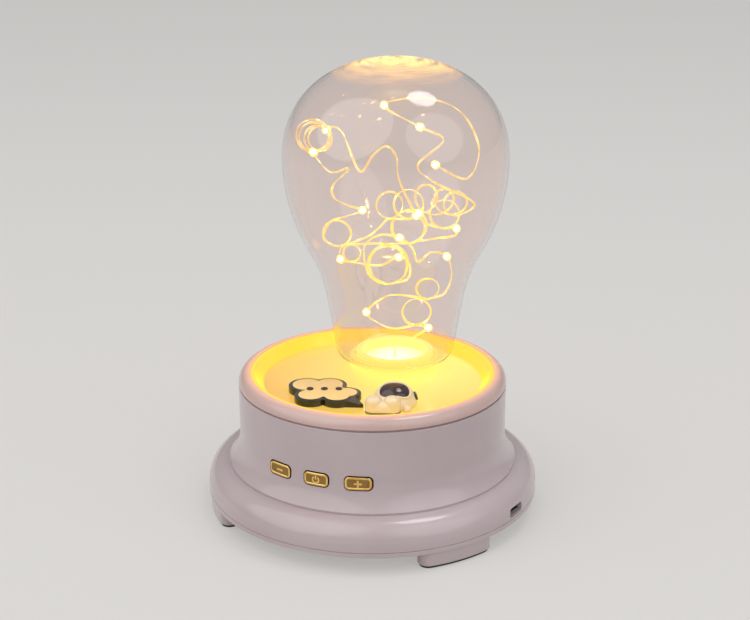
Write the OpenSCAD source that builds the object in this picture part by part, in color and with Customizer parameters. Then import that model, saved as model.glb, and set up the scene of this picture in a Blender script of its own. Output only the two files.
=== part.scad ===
// Speaker lamp: a round base with a speaker that faces down, three push buttons, a lit tray,
// and a clear globe that holds a string of fairy lights.
// Millimetres, +Z up, origin on the table under the middle of the base, buttons towards -Y.

/* [Base] */
// Outer diameter of the base ring and the bottom cover
base_d = 130; // [126:1:150]
// Height of a foot with its pad
foot_h = 6.7; // [5:0.1:10]
// Thickness of the soft pad under a foot
foot_pad_t = 1; // [0.6:0.1:2]
// Radial depth of a foot
foot_depth = 8; // [6:0.5:10]
// Angle that a foot spans round the base
foot_span = 24; // [16:1:36]
// Angle from the front to the front feet, and from the back to the rear feet
foot_angle = 53; // [40:1:65]
// Thickness of the bottom cover
cover_t = 1.8; // [1.4:0.1:3]
// Height of the base ring
ring_h = 11; // [10:0.1:16]
// Radius of the quarter-round on the base ring
ring_round = 8.4; // [7:0.1:9]
// Wall thickness of the base ring and the body
shell_wall = 2.2; // [1.6:0.1:2.6]

/* [Body] */
// How far the flare spreads past the drum
flare_w = 4.3; // [3:0.1:8]
// Height of the body from its lip to the seam under the rim
body_h = 31.4; // [30:0.2:40]
// Height of the flare above the lip
flare_h = 11.5; // [8:0.1:14]
// Height of the straight edge of the lip
lip_edge = 0.8; // [0.4:0.1:1.5]
// Shadow gap between the body and the rim
seam_gap = 0.7; // [0.4:0.1:1.2]
// Height of the rim above the seam
rim_h = 4.3; // [4.2:0.1:6]
// Radius of the rim's outer round
rim_round = 4.1; // [3:0.1:4.1]

/* [Tray] */
// Width of the rim from the outside to the tray's lip
rim_w = 4.8; // [4.4:0.1:8]
// Depth of the tray
tray_depth = 4.8; // [3:0.1:5.5]
// Thickness of the tray's floor
tray_t = 1.6; // [1.2:0.1:2.4]
// How far the tray's side leans out from floor to lip
tray_lean = 3.8; // [2:0.1:3.8]
// Width of the tray's lip
tray_lip_w = 1.15; // [0.8:0.05:1.2]

/* [Globe] */
// Largest diameter of the globe
globe_d = 88.2; // [80:0.2:90]
// Height of the globe above its seat
globe_h = 120.4; // [112:0.2:140]
// Height of the widest place above the seat
globe_belly = 81.5; // [76:0.5:90]
// Wall of the globe
globe_wall = 1.6; // [1:0.1:2.2]
// Floor left between the globe's seat and the tray's side
seat_margin = 0.9; // [0.5:0.1:6]
// Radius of the outward curve below the belly
belly_curve = 72; // [66:1:80]
// Radius of the inward curve above the neck
neck_curve = 60; // [40:1:70]
// Diameter of the neck above the bottom edge
neck_d = 48; // [40:0.5:54]
// Angle of the neck's taper
neck_lean = 9.5; // [6:0.5:12]
// Radius of the globe's bottom edge
globe_round = 6; // [4:0.2:7]
// Fullness of the crown, where 2 is an ellipse
crown_fullness = 2.2; // [2:0.05:3]
// Width of the flat lip round the globe's mouth
mouth_lip = 2; // [1:0.1:4]
// Height of the seat under the globe
seat_h = 2.5; // [1.5:0.1:5]
// Height of the seat's spigot inside the mouth
spigot_h = 3.5; // [2:0.1:6]
// Wall of the seat's spigot
spigot_wall = 2.7; // [1.5:0.1:4]
// Thickness of the lens in the seat
lens_t = 2; // [1:0.1:2.4]

/* [Light string] */
// Diameter of the wire
wire_d = 0.9; // [0.6:0.05:1]
// Diameter of a light drop
led_drop_d = 3.4; // [2.4:0.1:4]
// Turn of the string about the globe's axis
string_turn = 23; // [0:1:359]

/* [Buttons] */
// Width of a button
button_w = 9.8; // [7:0.1:10.5]
// Height of a button
button_tall = 5.2; // [4:0.1:6]
// Corner radius of a button
button_corner = 1.7; // [0.8:0.1:1.9]
// Distance between buttons
button_pitch = 15.8; // [14.5:0.1:16.5]
// Height of the buttons above the lip
button_up = 10.7; // [9:0.1:14]
// How far a button stands out of the wall
button_proud = 0.6; // [0.5:0.1:1.2]
// Travel of a button
button_travel = 0.5; // [0.2:0.05:0.5]
// Play round a button in its slot
button_gap = 0.3; // [0.2:0.05:0.5]

/* [Ornaments] */
// Thickness of the cloud sign's back
sign_t = 2.3; // [1.5:0.1:3]
// Thickness of the sign's face
sign_face_t = 0.6; // [0.4:0.1:1]
// Dark border round the sign's face
sign_border = 1.3; // [0.8:0.1:2]
// Radius of the figure's helmet
helmet_r = 8.6; // [7:0.1:10]
// Width of the figure's visor
visor_w = 11; // [8:0.1:12]
// Height of the figure's visor
visor_h = 6.8; // [5:0.1:8]
// Radius of the figure's boots
boot_r = 3.2; // [2.5:0.1:4]
// Height of the figure's boots
boot_h = 6; // [4:0.1:7]

/* [Speaker] */
// Outer diameter of the speaker's frame
speaker_d = 55; // [50:0.5:55]
// Diameter of the cone
cone_d = 34.4; // [30:0.2:36]
// Depth of the cone
cone_depth = 5; // [4:0.1:5.2]
// Travel of the cone each way
cone_travel = 1; // [0.4:0.1:1]
// Outer diameter of the magnet
magnet_d = 32; // [24:0.5:33]
// Height of the magnet
magnet_h = 6; // [4:0.2:8]
// Diameter of the voice coil
coil_d = 13.8; // [11:0.2:15]

/* [Electrics] */
// Diameter of the battery cell
battery_d = 14.2; // [10:0.1:15]
// Length of the battery cell
battery_l = 50; // [40:1:60]
// Thickness of the circuit boards
board_t = 1.2; // [0.8:0.1:1.6]
// Diameter of the leads inside the base
lead_d = 1.8; // [1.2:0.1:2]
// Angle from the front to the charging port
port_angle = 80; // [74:1:86]
// Width of the charging slot
port_slot_w = 9; // [8.6:0.1:11]
// Height of the charging slot
port_slot_h = 3.9; // [3.8:0.1:4.6]

/* [Hidden] */
$fn = 72;
arc_steps = 12;
skin = 0.01;
far = 400;

// Clearances
fit_gap = 0.15;
slide_gap = 0.3;
screw_gap = 0.05;

// Radii of the housing
base_r = base_d / 2;
lip_r = base_r - ring_round;
body_r = lip_r - flare_w;
body_in = body_r - shell_wall;
ring_in = base_r - shell_wall;

// Heights of the housing
z_ring = foot_h + cover_t;
z_lip = z_ring + ring_h;
z_round = z_lip - ring_round;
z_flare = z_lip + flare_h;
z_seam = z_lip + body_h;
z_shell = z_seam - seam_gap;
z_rim = z_seam + rim_h;
flare_rise = flare_h - lip_edge;
flare_run = flare_w;
flare_r = (flare_rise * flare_rise + flare_run * flare_run) / (2 * flare_run);

// Tongue of the base ring in the groove of the lip
tongue_w = 2;
tongue_h = 1.5;
tongue_r = body_r + 0.9;
shelf_r = body_in + 0.9;

// Locating rib of the bottom cover inside the base ring
locate_t = 1.6;
locate_h = 2;
locate_r = ring_in - fit_gap;

// Feet
foot_r = base_r - 0.6;
foot_mid_r = foot_r - foot_depth / 2;
foot_inset = 0.7;
foot_angles = [-foot_angle, foot_angle, foot_angle - 180, 180 - foot_angle];
peg_r = 2;
peg_h = 1.4;

// Case screws, from below through the cover into the body
case_angles = [-60, 60, 180];
case_boss_r = 3.5;
case_r = body_in - case_boss_r + 0.4;
case_boss_h = 16;
case_seat_r = 4.4;
case_seat_h = 2.2;
case_screw_r = 1.5;
case_head_r = 2.8;
case_head_h = 2;
case_hole_r = case_screw_r + 0.2;
case_pocket_r = case_head_r + slide_gap;
z_case_head = foot_h + case_head_h + 0.6;
z_case_boss = z_ring + case_seat_h;
case_thread = 11;

// Small screws for the boards and the speaker
pin_screw_r = 1.1;
pin_head_r = 2.3;
pin_head_h = 1.5;
pin_post_r = 2.8;
pin_hole_r = pin_screw_r + 0.2;
pin_bore_r = pin_screw_r + screw_gap;

// Rim and tray
skirt_h = 3.4;
rim_skirt_r = body_in - slide_gap;
seam_step = 1;
z_flange = z_shell - skirt_h;
rim_flange_t = 1.6;
z_tray = z_flange + rim_flange_t;
z_floor = z_tray + tray_t;
z_tray_lip = z_floor + tray_depth;
rim_in_r = body_r - rim_w;
tray_lip_r = rim_in_r - fit_gap;
tray_lip_in = tray_lip_r - tray_lip_w;
tray_floor_r = tray_lip_in - tray_lean;
tray_foot_r = tray_floor_r + 0.6;
tray_band = 0.9;
rim_flange_in = tray_floor_r - 4;

// Globe and its seat
globe_r = globe_d / 2;
z_seat = z_floor + seat_h;
z_belly = z_seat + globe_belly;
z_top = z_seat + globe_h;
globe_foot_z = z_seat + globe_round;
belly_x = globe_r - belly_curve;
neck_off = (belly_x - neck_d / 2) * cos(neck_lean) - (z_belly - globe_foot_z) * sin(neck_lean);
side_lean = neck_lean + acos((neck_curve - neck_off) / (belly_curve + neck_curve));
neck_x = belly_x + (belly_curve + neck_curve) * cos(side_lean);
neck_z = z_belly - (belly_curve + neck_curve) * sin(side_lean);
globe_foot_r = neck_d / 2 - globe_round / cos(neck_lean);
mouth_r = globe_foot_r - mouth_lip;
spigot_r = mouth_r - slide_gap;
seat_bore_r = spigot_r - spigot_wall;
seat_flange_r = globe_foot_r + 0.6;
globe_back = tray_floor_r - seat_flange_r - seat_margin;
wire_hole_r = wire_d / 2 + slide_gap;

// Light board under the tray
light_gap = 3.6;
z_light_top = z_flange - light_gap;
z_light = z_light_top - board_t;
light_r = body_in - 5.1;
light_post_r = 3;
light_post_at = light_r - light_post_r;
light_angles = [0, 120, 240];
light_thread = 2.8;
chip_w = 3;
chip_t = 0.8;
chip_rings = [[6, 0.4], [12, 0.75]];

// Buttons
z_button = z_lip + button_up;
button_places = [-button_pitch, 0, button_pitch];
button_flange = 1.1;
button_flange_t = 1.2;
stem_r = 2;
switch_w = 6;
switch_depth = 3.5;
plunger_r = 1.6;
plunger_out = 0.8;
plunger_in = 1.6;
bumper_w = button_w + 2 * button_flange;
flange_reach = button_pitch + bumper_w / 2;
board_back_gap = 6.2;
y_switch = -sqrt(body_in * body_in - flange_reach * flange_reach) + board_back_gap;
y_tip = y_switch - switch_depth - plunger_out;
button_board_z = [-6.2, 6.8];
button_post_r = 2.7;
button_post_x = flange_reach + button_post_r + 1.5;
button_board_x = button_post_x + 3;
button_thread = 4;

// Charging port: board, socket and slot
port_pad_h = 0.5;
z_charge = z_ring + port_pad_h;
z_socket = z_charge + board_t;
socket_w = 7.8;
socket_h = 2.6;
socket_l = 6.4;
socket_wall = 0.4;
socket_tongue_h = 0.7;
socket_r = base_r - 1.4;
slot_lift = 0.4;
charge_l = 14;
charge_w = 16.5;
charge_out = locate_r - locate_t - slide_gap;
charge_in = charge_out - charge_l;
charge_screw_at = charge_in + 3;
charge_screw_side = 5.5;
charge_thread = 1.9;
port_notch = charge_w + 2;

// Speaker, facing down
speaker_r = speaker_d / 2;
cloth_t = 0.3;
gasket_t = 0.8;
gasket_w = 6.2;
gasket_in = speaker_r - gasket_w;
flange_t = 1.2;
z_front = z_ring + gasket_t;
z_basket = z_front + flange_t;
basket_wall = 1.2;
basket_r = speaker_r - 2.9;
basket_h = 11;
z_basket_back = z_basket + basket_h;
back_r = magnet_d / 2 + 1.5;
back_t = 1.2;
z_plate = z_basket_back + back_t;
plate_t = 2.5;
plate_r = magnet_d / 2 - 1;
coil_r = coil_d / 2;
coil_wall = 0.4;
coil_gap = 0.35;
pole_r = coil_r - coil_wall - coil_gap;
z_magnet = z_plate + plate_t;
magnet_in = coil_r + 2.6;
z_yoke = z_magnet + magnet_h;
yoke_t = 2.5;
cone_r = cone_d / 2;
cone_wall = 0.6;
surround_rise = 2.5;
z_cone = z_basket + surround_rise;
z_apex = z_cone + cone_depth;
cap_r = coil_r + 0.9;
cap_h = 2;
cap_wall = 0.4;
surround_t = 0.4;
surround_wave = 0.45;
surround_waves = 2;
surround_lip = 1.2;
spider_t = 0.4;
spider_rise = 1.2;
spider_wave = 0.35;
spider_waves = 4;
z_spider = z_apex + 0.2;
spider_lean = (basket_r - basket_wall - back_r) / basket_h;
spider_r = basket_r - basket_wall - (z_spider + 2 * spider_t - z_basket) * spider_lean - fit_gap;
clamp_at = speaker_r + pin_post_r;
clamp_angles = [45, 135, 225, 315];
clamp_thread = 1.8;
clamp_head_r = pin_post_r + 0.7;
tab_w = 4;
tab_l = 4.5;
grille_hole_r = 1.5;
grille_rings = 3;
grille_pitch = (gasket_in - 2.2 * grille_hole_r) / grille_rings;

// Battery along X behind the speaker
battery_r = battery_d / 2;
battery_y = magnet_d / 2 + 2.3 + battery_r;
z_battery = z_plate + 6.5;
saddle_x = 11;
saddle_w = 8;
saddle_gap = 0.1;
saddle_in = speaker_r + 1;
saddle_knee = 6.5;
saddle_step = 5.5;
strap_t = 0.8;
strap_w = 6;
rail_w = 4;
rail_h = 2;

// Main board beside the speaker: its places are from its inner edge and its middle, on a board
// of the planned width in a body of the planned inner radius, and follow the body
plan_in = 50.1;
plan_board_w = 26;
plan_board_half = 17.2;
inside_k = body_in / plan_in;
main_in = magnet_d / 2 + 2;
main_out = body_in - 6.1;
main_half = plan_board_half * inside_k;
board_k = (main_out - main_in) / plan_board_w;
small_k = min(board_k, 1);
z_main = z_plate + 1.3;
z_main_top = z_main + board_t;
main_posts = [for (p = [[21.5, -13], [21.5, 13], [17.5, 0]]) on_board(p)];
main_thread = 6;
plug_size = [6 * small_k, 4.5 * small_k, 5];
z_plug = z_main_top + plug_size[2];
plug_light = on_board([13, 8]);
plug_button = on_board([14, -14.5]);
plug_battery = on_board([10, 14.5]);
plug_speaker = on_board([3.5, -9]);
plug_charge = on_board([6, -14.8]);
plug_places = [plug_light, plug_button, plug_battery, plug_speaker, plug_charge];
can_places = [for (p = [[3.7, 12], [4.5, 4]]) on_board(p)];
can_r = 3.2 * small_k;
can_h = 9;
chip_places = [[11, 0], [21, 5.5], [22, -5], [12, -7.5]];
chip_sizes = [[6, 6, 1.2], [6, 6, 4], [4, 3, 1.5], [5, 5, 1.2]];

// Route of each lead, chosen by hand, from one end face to the other
charge_plug_r = charge_in + 6;
charge_plug_h = 3.2;
lead_ring_r = case_r - 10;
lead_steps = 4;
lead_sides = 8;
z_lead = z_plug + 2.5;
y_board_back = y_switch + board_t;
route_button = [
    rise(plug_button, z_plug), rise(plug_button, z_lead), rise(plug_button + [4, -9.5], z_lead + 2.5),
    [-21, y_board_back + 7, z_button + 4], [-20, y_board_back + 3, z_button + 4],
    [-20, y_board_back, z_button + 4]
];
route_battery = [
    [-battery_l / 2, battery_y, z_battery], [-battery_l / 2 - 3, battery_y, z_battery],
    [-battery_l / 2 - 5, battery_y - 5, z_lead], rise(plug_battery + [-1, 1.5], z_lead + 1.5),
    rise(plug_battery, z_lead), rise(plug_battery, z_plug)
];
route_speaker = [
    [0, -back_r - tab_l / 2, z_plate], [0, -back_r - tab_l / 2, z_plate + 4], [-8, -back_r - 3.5, z_lead],
    [1 - main_in, 2 - main_in, z_lead + 2], rise(plug_speaker, z_lead), rise(plug_speaker, z_plug)
];
route_charge = concat(
    [rise(polar(charge_plug_r, port_angle), z_socket + charge_plug_h),
     rise(polar(charge_plug_r, port_angle), z_socket + charge_plug_h + lead_d)],
    [for (i = [0 : 4]) rise(polar(lead_ring_r, port_angle - 16 - 20 * i), z_ring + 5.5)],
    [rise(polar(lead_ring_r, -36), z_ring + 9.5), rise(plug_charge + [-1, -7], z_main + 3),
     rise(plug_charge + [0, -2], z_lead + 1.5), rise(plug_charge, z_lead), rise(plug_charge, z_plug)]
);

// Route of the light string about the globe's axis, chosen by hand:
// right, away, height over the seat, radius of the loops after the point, and their turns
string_route = [
    [0, 0, 4, 0, 0], [5, -2, 9, 0, 0], [12, -8, 13, 0, 0], [6, -12, 19, 3, -1],
    [-5, -9, 21, 5, -1], [-14, 1, 27, 0, 0], [-8, 11, 26, 5, 1], [4, 5, 26, 6, 1],
    [16, -2, 34, 0, 0], [9, -11, 38, 0, 0], [-2, -14, 41, 0, 0], [-10, -15, 39, 4, -1],
    [-21, -6, 40, 0, 0], [-15, 7, 42, 5, 1], [-3, 13, 44, 6, 1], [5, 3, 50, 0, 0],
    [12, -10, 48, 6, 1], [23, -4, 53, 0, 0], [21, 6, 57, 3, -1], [12, 12, 59, 7, -2],
    [-4, 20, 57, 6, -1], [-13, 6, 60, 0, 0], [-22, -6, 67, 0, 0], [-18, -14, 78, 0, 0],
    [-32, -18, 82, 0, 0], [-31, -11, 84, 7, 3], [-28, 2, 88, 5, 0], [-24, 4, 95, 0, 0],
    [-19, -9, 93, 0, 0], [-13, -15, 77, 0, 0], [-4, -9, 88, 0, 0], [2, -6, 72, 0, 0],
    [9, -9, 61, 6, 2], [21, -15, 62, 5, 1], [29, -8, 69, 0, 0], [11, -20, 79, 0, 0],
    [19, -18, 89, 0, 0], [9, -8, 94, 0, 0], [-4, 2, 102, 0, 0], [10, 14, 100, 0, 0],
    [25, 14, 93, 0, 0], [33, 8, 83, 0, 0], [27, 4, 73, 0, 0], [16, 0, 79, 0, 0]
];
string_lights = [2, 4, 7, 10, 12, 15, 17, 19, 21, 24, 27, 30, 32, 34, 37, 38, 40, 43];
plan_globe_d = 88.2;
plan_globe_h = 120.4;
string_wide = globe_d / plan_globe_d;
string_tall = globe_h / plan_globe_h;
string_sides = 6;
loop_rings = 24;
plain_rings = 8;
same_tube = 6;

// Cloud sign on the tray: place, turn, and its lobes as right, away, radius, on the planned tray
plan_tray_r = 42.4;
tray_k = tray_floor_r / plan_tray_r;
sign_at = [-10.3, -22.4];
sign_turn = 23;
sign_lobes = [
    [0, 0, 8.8], [-6.9, 5.1, 7.1], [1.7, 5.4, 6.8], [8.5, -2.9, 5.6], [4.9, -6, 6.3], [-4.9, -5.1, 6.4]
];
sign_tail = [[4, -11], [15.1, -11.7], [11, -6]];
dot_r = 1.3;
dot_t = 0.5;
dot_pitch = 5.5;

// Figure on the tray: place, turn, and its limbs in its own frame
figure_at = [17.1, -19];
figure_turn = 23;
visor_tilt = 30;
visor_corner = 3;
visor_t = 0.9;
visor_out = 0.15;
boot_places = [[-7.9, -7.8], [-0.9, -8]];
torso_at = [-2.5, -4];
torso_r = 5;
hand_at = [5.4, -8.2];
hand_r = 2;

// A place at a radius and an angle from the front
function polar(r, a) = [r * sin(a), -r * cos(a)];
// A place on the main board, and a place in the plan with its height
function on_board(p) = [-main_in - p[0] * board_k, p[1] * inside_k];
function rise(p, z) = [p[0], p[1], z];
// Points of an arc about a centre, from one angle to another
function arc(cx, cy, r, from, to, n = arc_steps) =
    [for (i = [0 : n]) let (a = from + (to - from) * i / n) [cx + r * cos(a), cy + r * sin(a)]];
function unit(v) = v / norm(v);
// A smooth curve through four points, between the second and the third
function spline(a, b, c, d, t) =
    (2 * b + (c - a) * t + (2 * a - 5 * b + 4 * c - d) * t * t + (3 * b - a - 3 * c + d) * t * t * t) / 2;
function place(p) = [p[0] * string_wide, p[1] * string_wide, p[2] * string_tall];
function turns_before(i) = i == 0 ? 0 : turns_before(i - 1) + string_route[i - 1][4];
function ease(t) = t * t * (3 - 2 * t);

// The light string as points: the smooth route with its loops added
function string_segment(i) =
    let (
        last = len(string_route) - 1,
        a = place(string_route[max(i - 1, 0)]),
        b = place(string_route[i]),
        c = place(string_route[i + 1]),
        d = place(string_route[min(i + 2, last)]),
        from_r = string_route[i][3],
        to_r = string_route[i + 1][3],
        turns = string_route[i][4],
        n = max(plain_rings, loop_rings * abs(turns))
    )
    [for (k = [0 : n - 1])
        let (
            t = k / n,
            r = from_r + (to_r - from_r) * ease(t),
            turn = 360 * (turns_before(i) + turns * t)
        )
        spline(a, b, c, d, t) + r * string_wide * [sin(turn), 0, 1 - cos(turn)]];
string_loops = [for (i = [0 : len(string_route) - 2]) each string_segment(i)];
string_points = concat(
    [[0, 0, z_light_top - z_seat], [0, 0, z_light_top - z_seat + wire_d]],
    string_loops,
    [place(string_route[len(string_route) - 1])]
);

// The same smoothing for a lead, whose first and last runs stay straight
function lead_points(route) = concat(
    [route[0]],
    [for (i = [1 : len(route) - 3])
        for (k = [0 : lead_steps - 1])
            spline(route[i - 1], route[i], route[i + 1], route[i + 2], k / lead_steps)],
    [route[len(route) - 2], route[len(route) - 1]]
);

// Directions along a run of points, and side directions that twist as little as they can
function headings(p) =
    let (n = len(p) - 1)
    [for (i = [0 : n]) unit(p[min(i + 1, n)] - p[max(i - 1, 0)])];
function across(v, h) = unit(v - h * (v * h));
function any_side(h) = abs(h[0]) < 0.9 ? [1, 0, 0] : [0, 1, 0];
function sides(h) =
    [for (i = 0, s = across(any_side(h[0]), h[0]); i < len(h);
        i = i + 1, s = i < len(h) ? across(s, h[i]) : s) s];

// One closed tube along points
module tube(points, d, n) {
    h = headings(points);
    s = sides(h);
    last = len(points) - 1;
    rings = [for (i = [0 : last])
        let (u = cross(h[i], s[i]))
        for (k = [0 : n - 1])
            points[i] + d / 2 * (cos(360 * k / n) * s[i] + sin(360 * k / n) * u)];
    walls = [for (i = [0 : last - 1])
        for (k = [0 : n - 1])
            let (a = i * n + k, b = i * n + (k + 1) % n)
            each [[a, a + n, b], [b, a + n, b + n]]];
    caps = [for (k = [1 : n - 2]) each [[0, k, k + 1], [last * n, last * n + k + 1, last * n + k]]];
    polyhedron(points = rings, faces = concat(walls, caps));
}

// Least gap of the light string to itself, over points that are not the same stretch of tube
function string_gap(p) =
    min([for (i = [0 : len(p) - 1])
        for (j = [i + same_tube : 1 : len(p) - 1])
            norm(p[j] - p[i]) < wire_d + 3 && abs(j - i) > 2 * same_tube ? norm(p[j] - p[i]) - wire_d : far]);

// A round slab, and a round slab with a hole
module slab(r, z0, z1) {
    translate([0, 0, z0])
        cylinder(r = r, h = z1 - z0);
}
module washer(r, r_in, z0, z1) {
    difference() {
        slab(r, z0, z1);
        slab(r_in, z0 - skin, z1 + skin);
    }
}
// Turn the children from the front by an angle, out to a radius
module at(a, r) {
    rotate([0, 0, a])
        translate([0, -r, 0])
            children();
}
// A box between two corners
module block(lo, hi) {
    translate(lo)
        cube(hi - lo);
}
// A round bar along Y between two places
module bar_y(x, z, r, y0, y1) {
    translate([x, y1, z])
        rotate([90, 0, 0])
            cylinder(r = r, h = y1 - y0);
}
// A screw with its head above z, pointing down
module screw(r, l, head_r, head_h, z) {
    slab(head_r, z, z + head_h);
    slab(r, z - l, z + skin);
}
// A rounded rectangle
module round_rect(w, h, r) {
    square([w - 2 * r, h], center = true);
    square([w, h - 2 * r], center = true);
    for (x = [-1, 1])
        for (y = [-1, 1])
            translate([x * (w / 2 - r), y * (h / 2 - r)])
                circle(r);
}

// A curved bar round the base with round ends
module curved_bar(a, depth, z0, z1) {
    rotate([0, 0, a - 90]) {
        rotate([0, 0, -foot_span / 2])
            rotate_extrude(angle = foot_span)
                translate([foot_mid_r - depth / 2, z0])
                    square([depth, z1 - z0]);
        for (s = [-1, 1])
            rotate([0, 0, s * foot_span / 2])
                translate([foot_mid_r, 0, 0])
                    slab(depth / 2, z0, z1);
    }
}

module bottom_cover() {
    color("gainsboro")
    difference() {
        union() {
            slab(base_r, foot_h, z_ring);
            difference() {
                washer(locate_r, locate_r - locate_t, z_ring - skin, z_ring + locate_h);
                at(port_angle, 0)
                    block([-port_notch / 2, -far, z_ring - 2 * skin], [port_notch / 2, 0, z_lip]);
            }
            for (a = case_angles)
                at(a, case_r)
                    slab(case_seat_r, z_ring - skin, z_case_boss);
            for (a = clamp_angles)
                at(a, clamp_at)
                    slab(pin_post_r, z_ring - skin, z_basket);
            for (p = main_posts)
                translate([p[0], p[1], 0])
                    slab(pin_post_r, z_ring - skin, z_main);
            at(port_angle, 0)
                for (x = [-1, 1])
                    translate([x * charge_screw_side, -charge_screw_at, 0])
                        slab(pin_post_r, z_ring - skin, z_charge);
        }
        for (g = [0 : grille_rings])
            for (i = [0 : max(6 * g, 1) - 1])
                at(60 * i / max(g, 1), g * grille_pitch)
                    slab(grille_hole_r, 0, z_ring + skin);
        for (a = foot_angles)
            at(a, foot_mid_r)
                slab(peg_r + screw_gap, 0, foot_h + peg_h + screw_gap);
        for (a = case_angles)
            at(a, case_r) {
                slab(case_pocket_r, 0, z_case_head);
                slab(case_hole_r, 0, z_lip);
            }
        for (a = clamp_angles)
            at(a, clamp_at)
                slab(pin_bore_r, z_basket - clamp_thread - slide_gap, z_lip);
        for (p = main_posts)
            translate([p[0], p[1], 0])
                slab(pin_bore_r, z_main - main_thread, z_main + skin);
        at(port_angle, 0)
            for (x = [-1, 1])
                translate([x * charge_screw_side, -charge_screw_at, 0])
                    slab(pin_bore_r, z_charge - charge_thread, z_lip);
    }
}

module foot(a) {
    color("gainsboro") {
        curved_bar(a, foot_depth, foot_pad_t, foot_h);
        at(a, foot_mid_r)
            slab(peg_r, foot_h - skin, foot_h + peg_h);
    }
}

module foot_pads() {
    color("dimgray")
    for (a = foot_angles)
        curved_bar(a, foot_depth - 2 * foot_inset, 0, foot_pad_t);
}

// A disc at a place in a profile, and its quarter outside and above the centre
module circle_at(x, z, r) {
    translate([x, z])
        circle(r);
}
module quarter(x, z, r) {
    intersection() {
        circle_at(x, z, r);
        translate([x, z])
            square(r);
    }
}
module base_ring() {
    color("lavenderblush")
    difference() {
        union() {
            rotate_extrude() {
                difference() {
                    quarter(lip_r, z_round, ring_round);
                    circle_at(lip_r, z_round, ring_round - shell_wall);
                }
                translate([ring_in, z_ring])
                    square([shell_wall, z_round - z_ring]);
                translate([shelf_r, z_lip - shell_wall])
                    square([lip_r - shelf_r, shell_wall]);
            }
            washer(tongue_r + tongue_w / 2, tongue_r - tongue_w / 2, z_lip - skin, z_lip + tongue_h);
        }
        at(port_angle, 0)
            block([-port_slot_w / 2, -far, z_socket + socket_h + slot_lift - port_slot_h],
                  [port_slot_w / 2, -charge_in, z_socket + socket_h + slot_lift]);
    }
}

module body_shell() {
    color("lavenderblush")
    difference() {
        union() {
            rotate_extrude() {
                translate([body_in, z_lip])
                    square([shell_wall, z_shell - z_lip]);
                difference() {
                    translate([body_r - skin, z_lip])
                        square([flare_w + skin, flare_h]);
                    translate([body_r + flare_r, z_flare])
                        circle(flare_r);
                }
            }
            for (a = case_angles)
                at(a, case_r)
                    slab(case_boss_r, z_case_boss, z_lip + case_boss_h);
            intersection() {
                slab(body_in + skin, z_lip, z_shell);
                for (x = [-1, 1])
                    bar_y(x * button_post_x, z_button, button_post_r, -body_r, y_switch);
            }
        }
        washer(tongue_r + tongue_w / 2 + fit_gap, tongue_r - tongue_w / 2 - fit_gap,
               z_lip - skin, z_lip + tongue_h + fit_gap);
        for (a = case_angles)
            at(a, case_r)
                slab(case_screw_r + screw_gap, z_case_boss - skin, z_case_boss + case_thread + 1);
        for (x = [-1, 1])
            bar_y(x * button_post_x, z_button, pin_bore_r, y_switch - button_thread, 0);
        for (x = button_places)
            translate([x, 0, z_button])
                rotate([90, 0, 0])
                    linear_extrude(far)
                        round_rect(button_w + 2 * button_gap, button_tall + 2 * button_gap,
                                   button_corner + button_gap);
    }
}

module rim_ring() {
    color("mistyrose")
    difference() {
        union() {
            rotate_extrude() {
                polygon([
                    [rim_flange_in, z_flange], [rim_skirt_r, z_flange], [rim_skirt_r, z_shell],
                    [body_r - seam_step, z_shell], [body_r - seam_step, z_seam], [body_r, z_seam],
                    [body_r, z_rim - rim_round], [body_r - rim_round, z_rim - rim_round],
                    [body_r - rim_round, z_rim], [rim_in_r, z_tray_lip], [rim_in_r, z_tray_lip - tray_band],
                    [tray_foot_r + fit_gap, z_tray], [rim_flange_in, z_tray]
                ]);
                quarter(body_r - rim_round, z_rim - rim_round, rim_round);
            }
            for (a = light_angles)
                at(a, light_post_at)
                    slab(light_post_r, z_light_top, z_flange + skin);
        }
        for (a = light_angles)
            at(a, light_post_at)
                slab(pin_bore_r, z_light_top - skin, z_light_top + light_thread + slide_gap);
    }
}

module tray() {
    color("moccasin")
    difference() {
        rotate_extrude()
            polygon([
                [0, z_tray], [tray_foot_r, z_tray], [tray_lip_r, z_tray_lip - tray_band],
                [tray_lip_r, z_tray_lip], [tray_lip_in, z_tray_lip], [tray_floor_r, z_floor], [0, z_floor]
            ]);
        translate([0, globe_back, 0])
            slab(wire_hole_r, 0, far);
    }
}

module bulb_seat() {
    color("moccasin")
    translate([0, globe_back, 0])
    difference() {
        union() {
            slab(seat_flange_r, z_floor, z_seat);
            slab(spigot_r, z_floor, z_seat + spigot_h);
        }
        slab(seat_bore_r, 0, far);
    }
}

module seat_lens() {
    color("lightyellow")
    translate([0, globe_back, 0])
        washer(seat_bore_r - fit_gap, wire_hole_r, z_floor, z_floor + lens_t);
}

// Profile of the globe from its bottom edge to its top, set in by a depth
function globe_side(d) = concat(
    d > 0 ? [] : arc(globe_foot_r, globe_foot_z, globe_round, -90, -neck_lean),
    arc(neck_x, neck_z, neck_curve + d, 180 - neck_lean, 180 - side_lean),
    arc(belly_x, z_belly, belly_curve - d, -side_lean, 0),
    [for (i = [1 : 2 * arc_steps])
        let (a = 45 * i / arc_steps)
        [(globe_r - d) * pow(max(cos(a), 0), 2 / crown_fullness),
         z_belly + (z_top - d - z_belly) * pow(sin(a), 2 / crown_fullness)]]
);
module bulb_globe() {
    inside = globe_side(globe_wall);
    color("oldlace", 0.35)
    translate([0, globe_back, 0])
    rotate_extrude()
        polygon(concat(
            [[mouth_r, z_seat]],
            globe_side(0),
            [for (i = [len(inside) - 1 : -1 : 0]) inside[i]],
            [[globe_foot_r + globe_round - globe_wall, globe_foot_z], [globe_foot_r, z_seat + globe_wall],
             [mouth_r, z_seat + globe_wall]]
        ));
}

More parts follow.
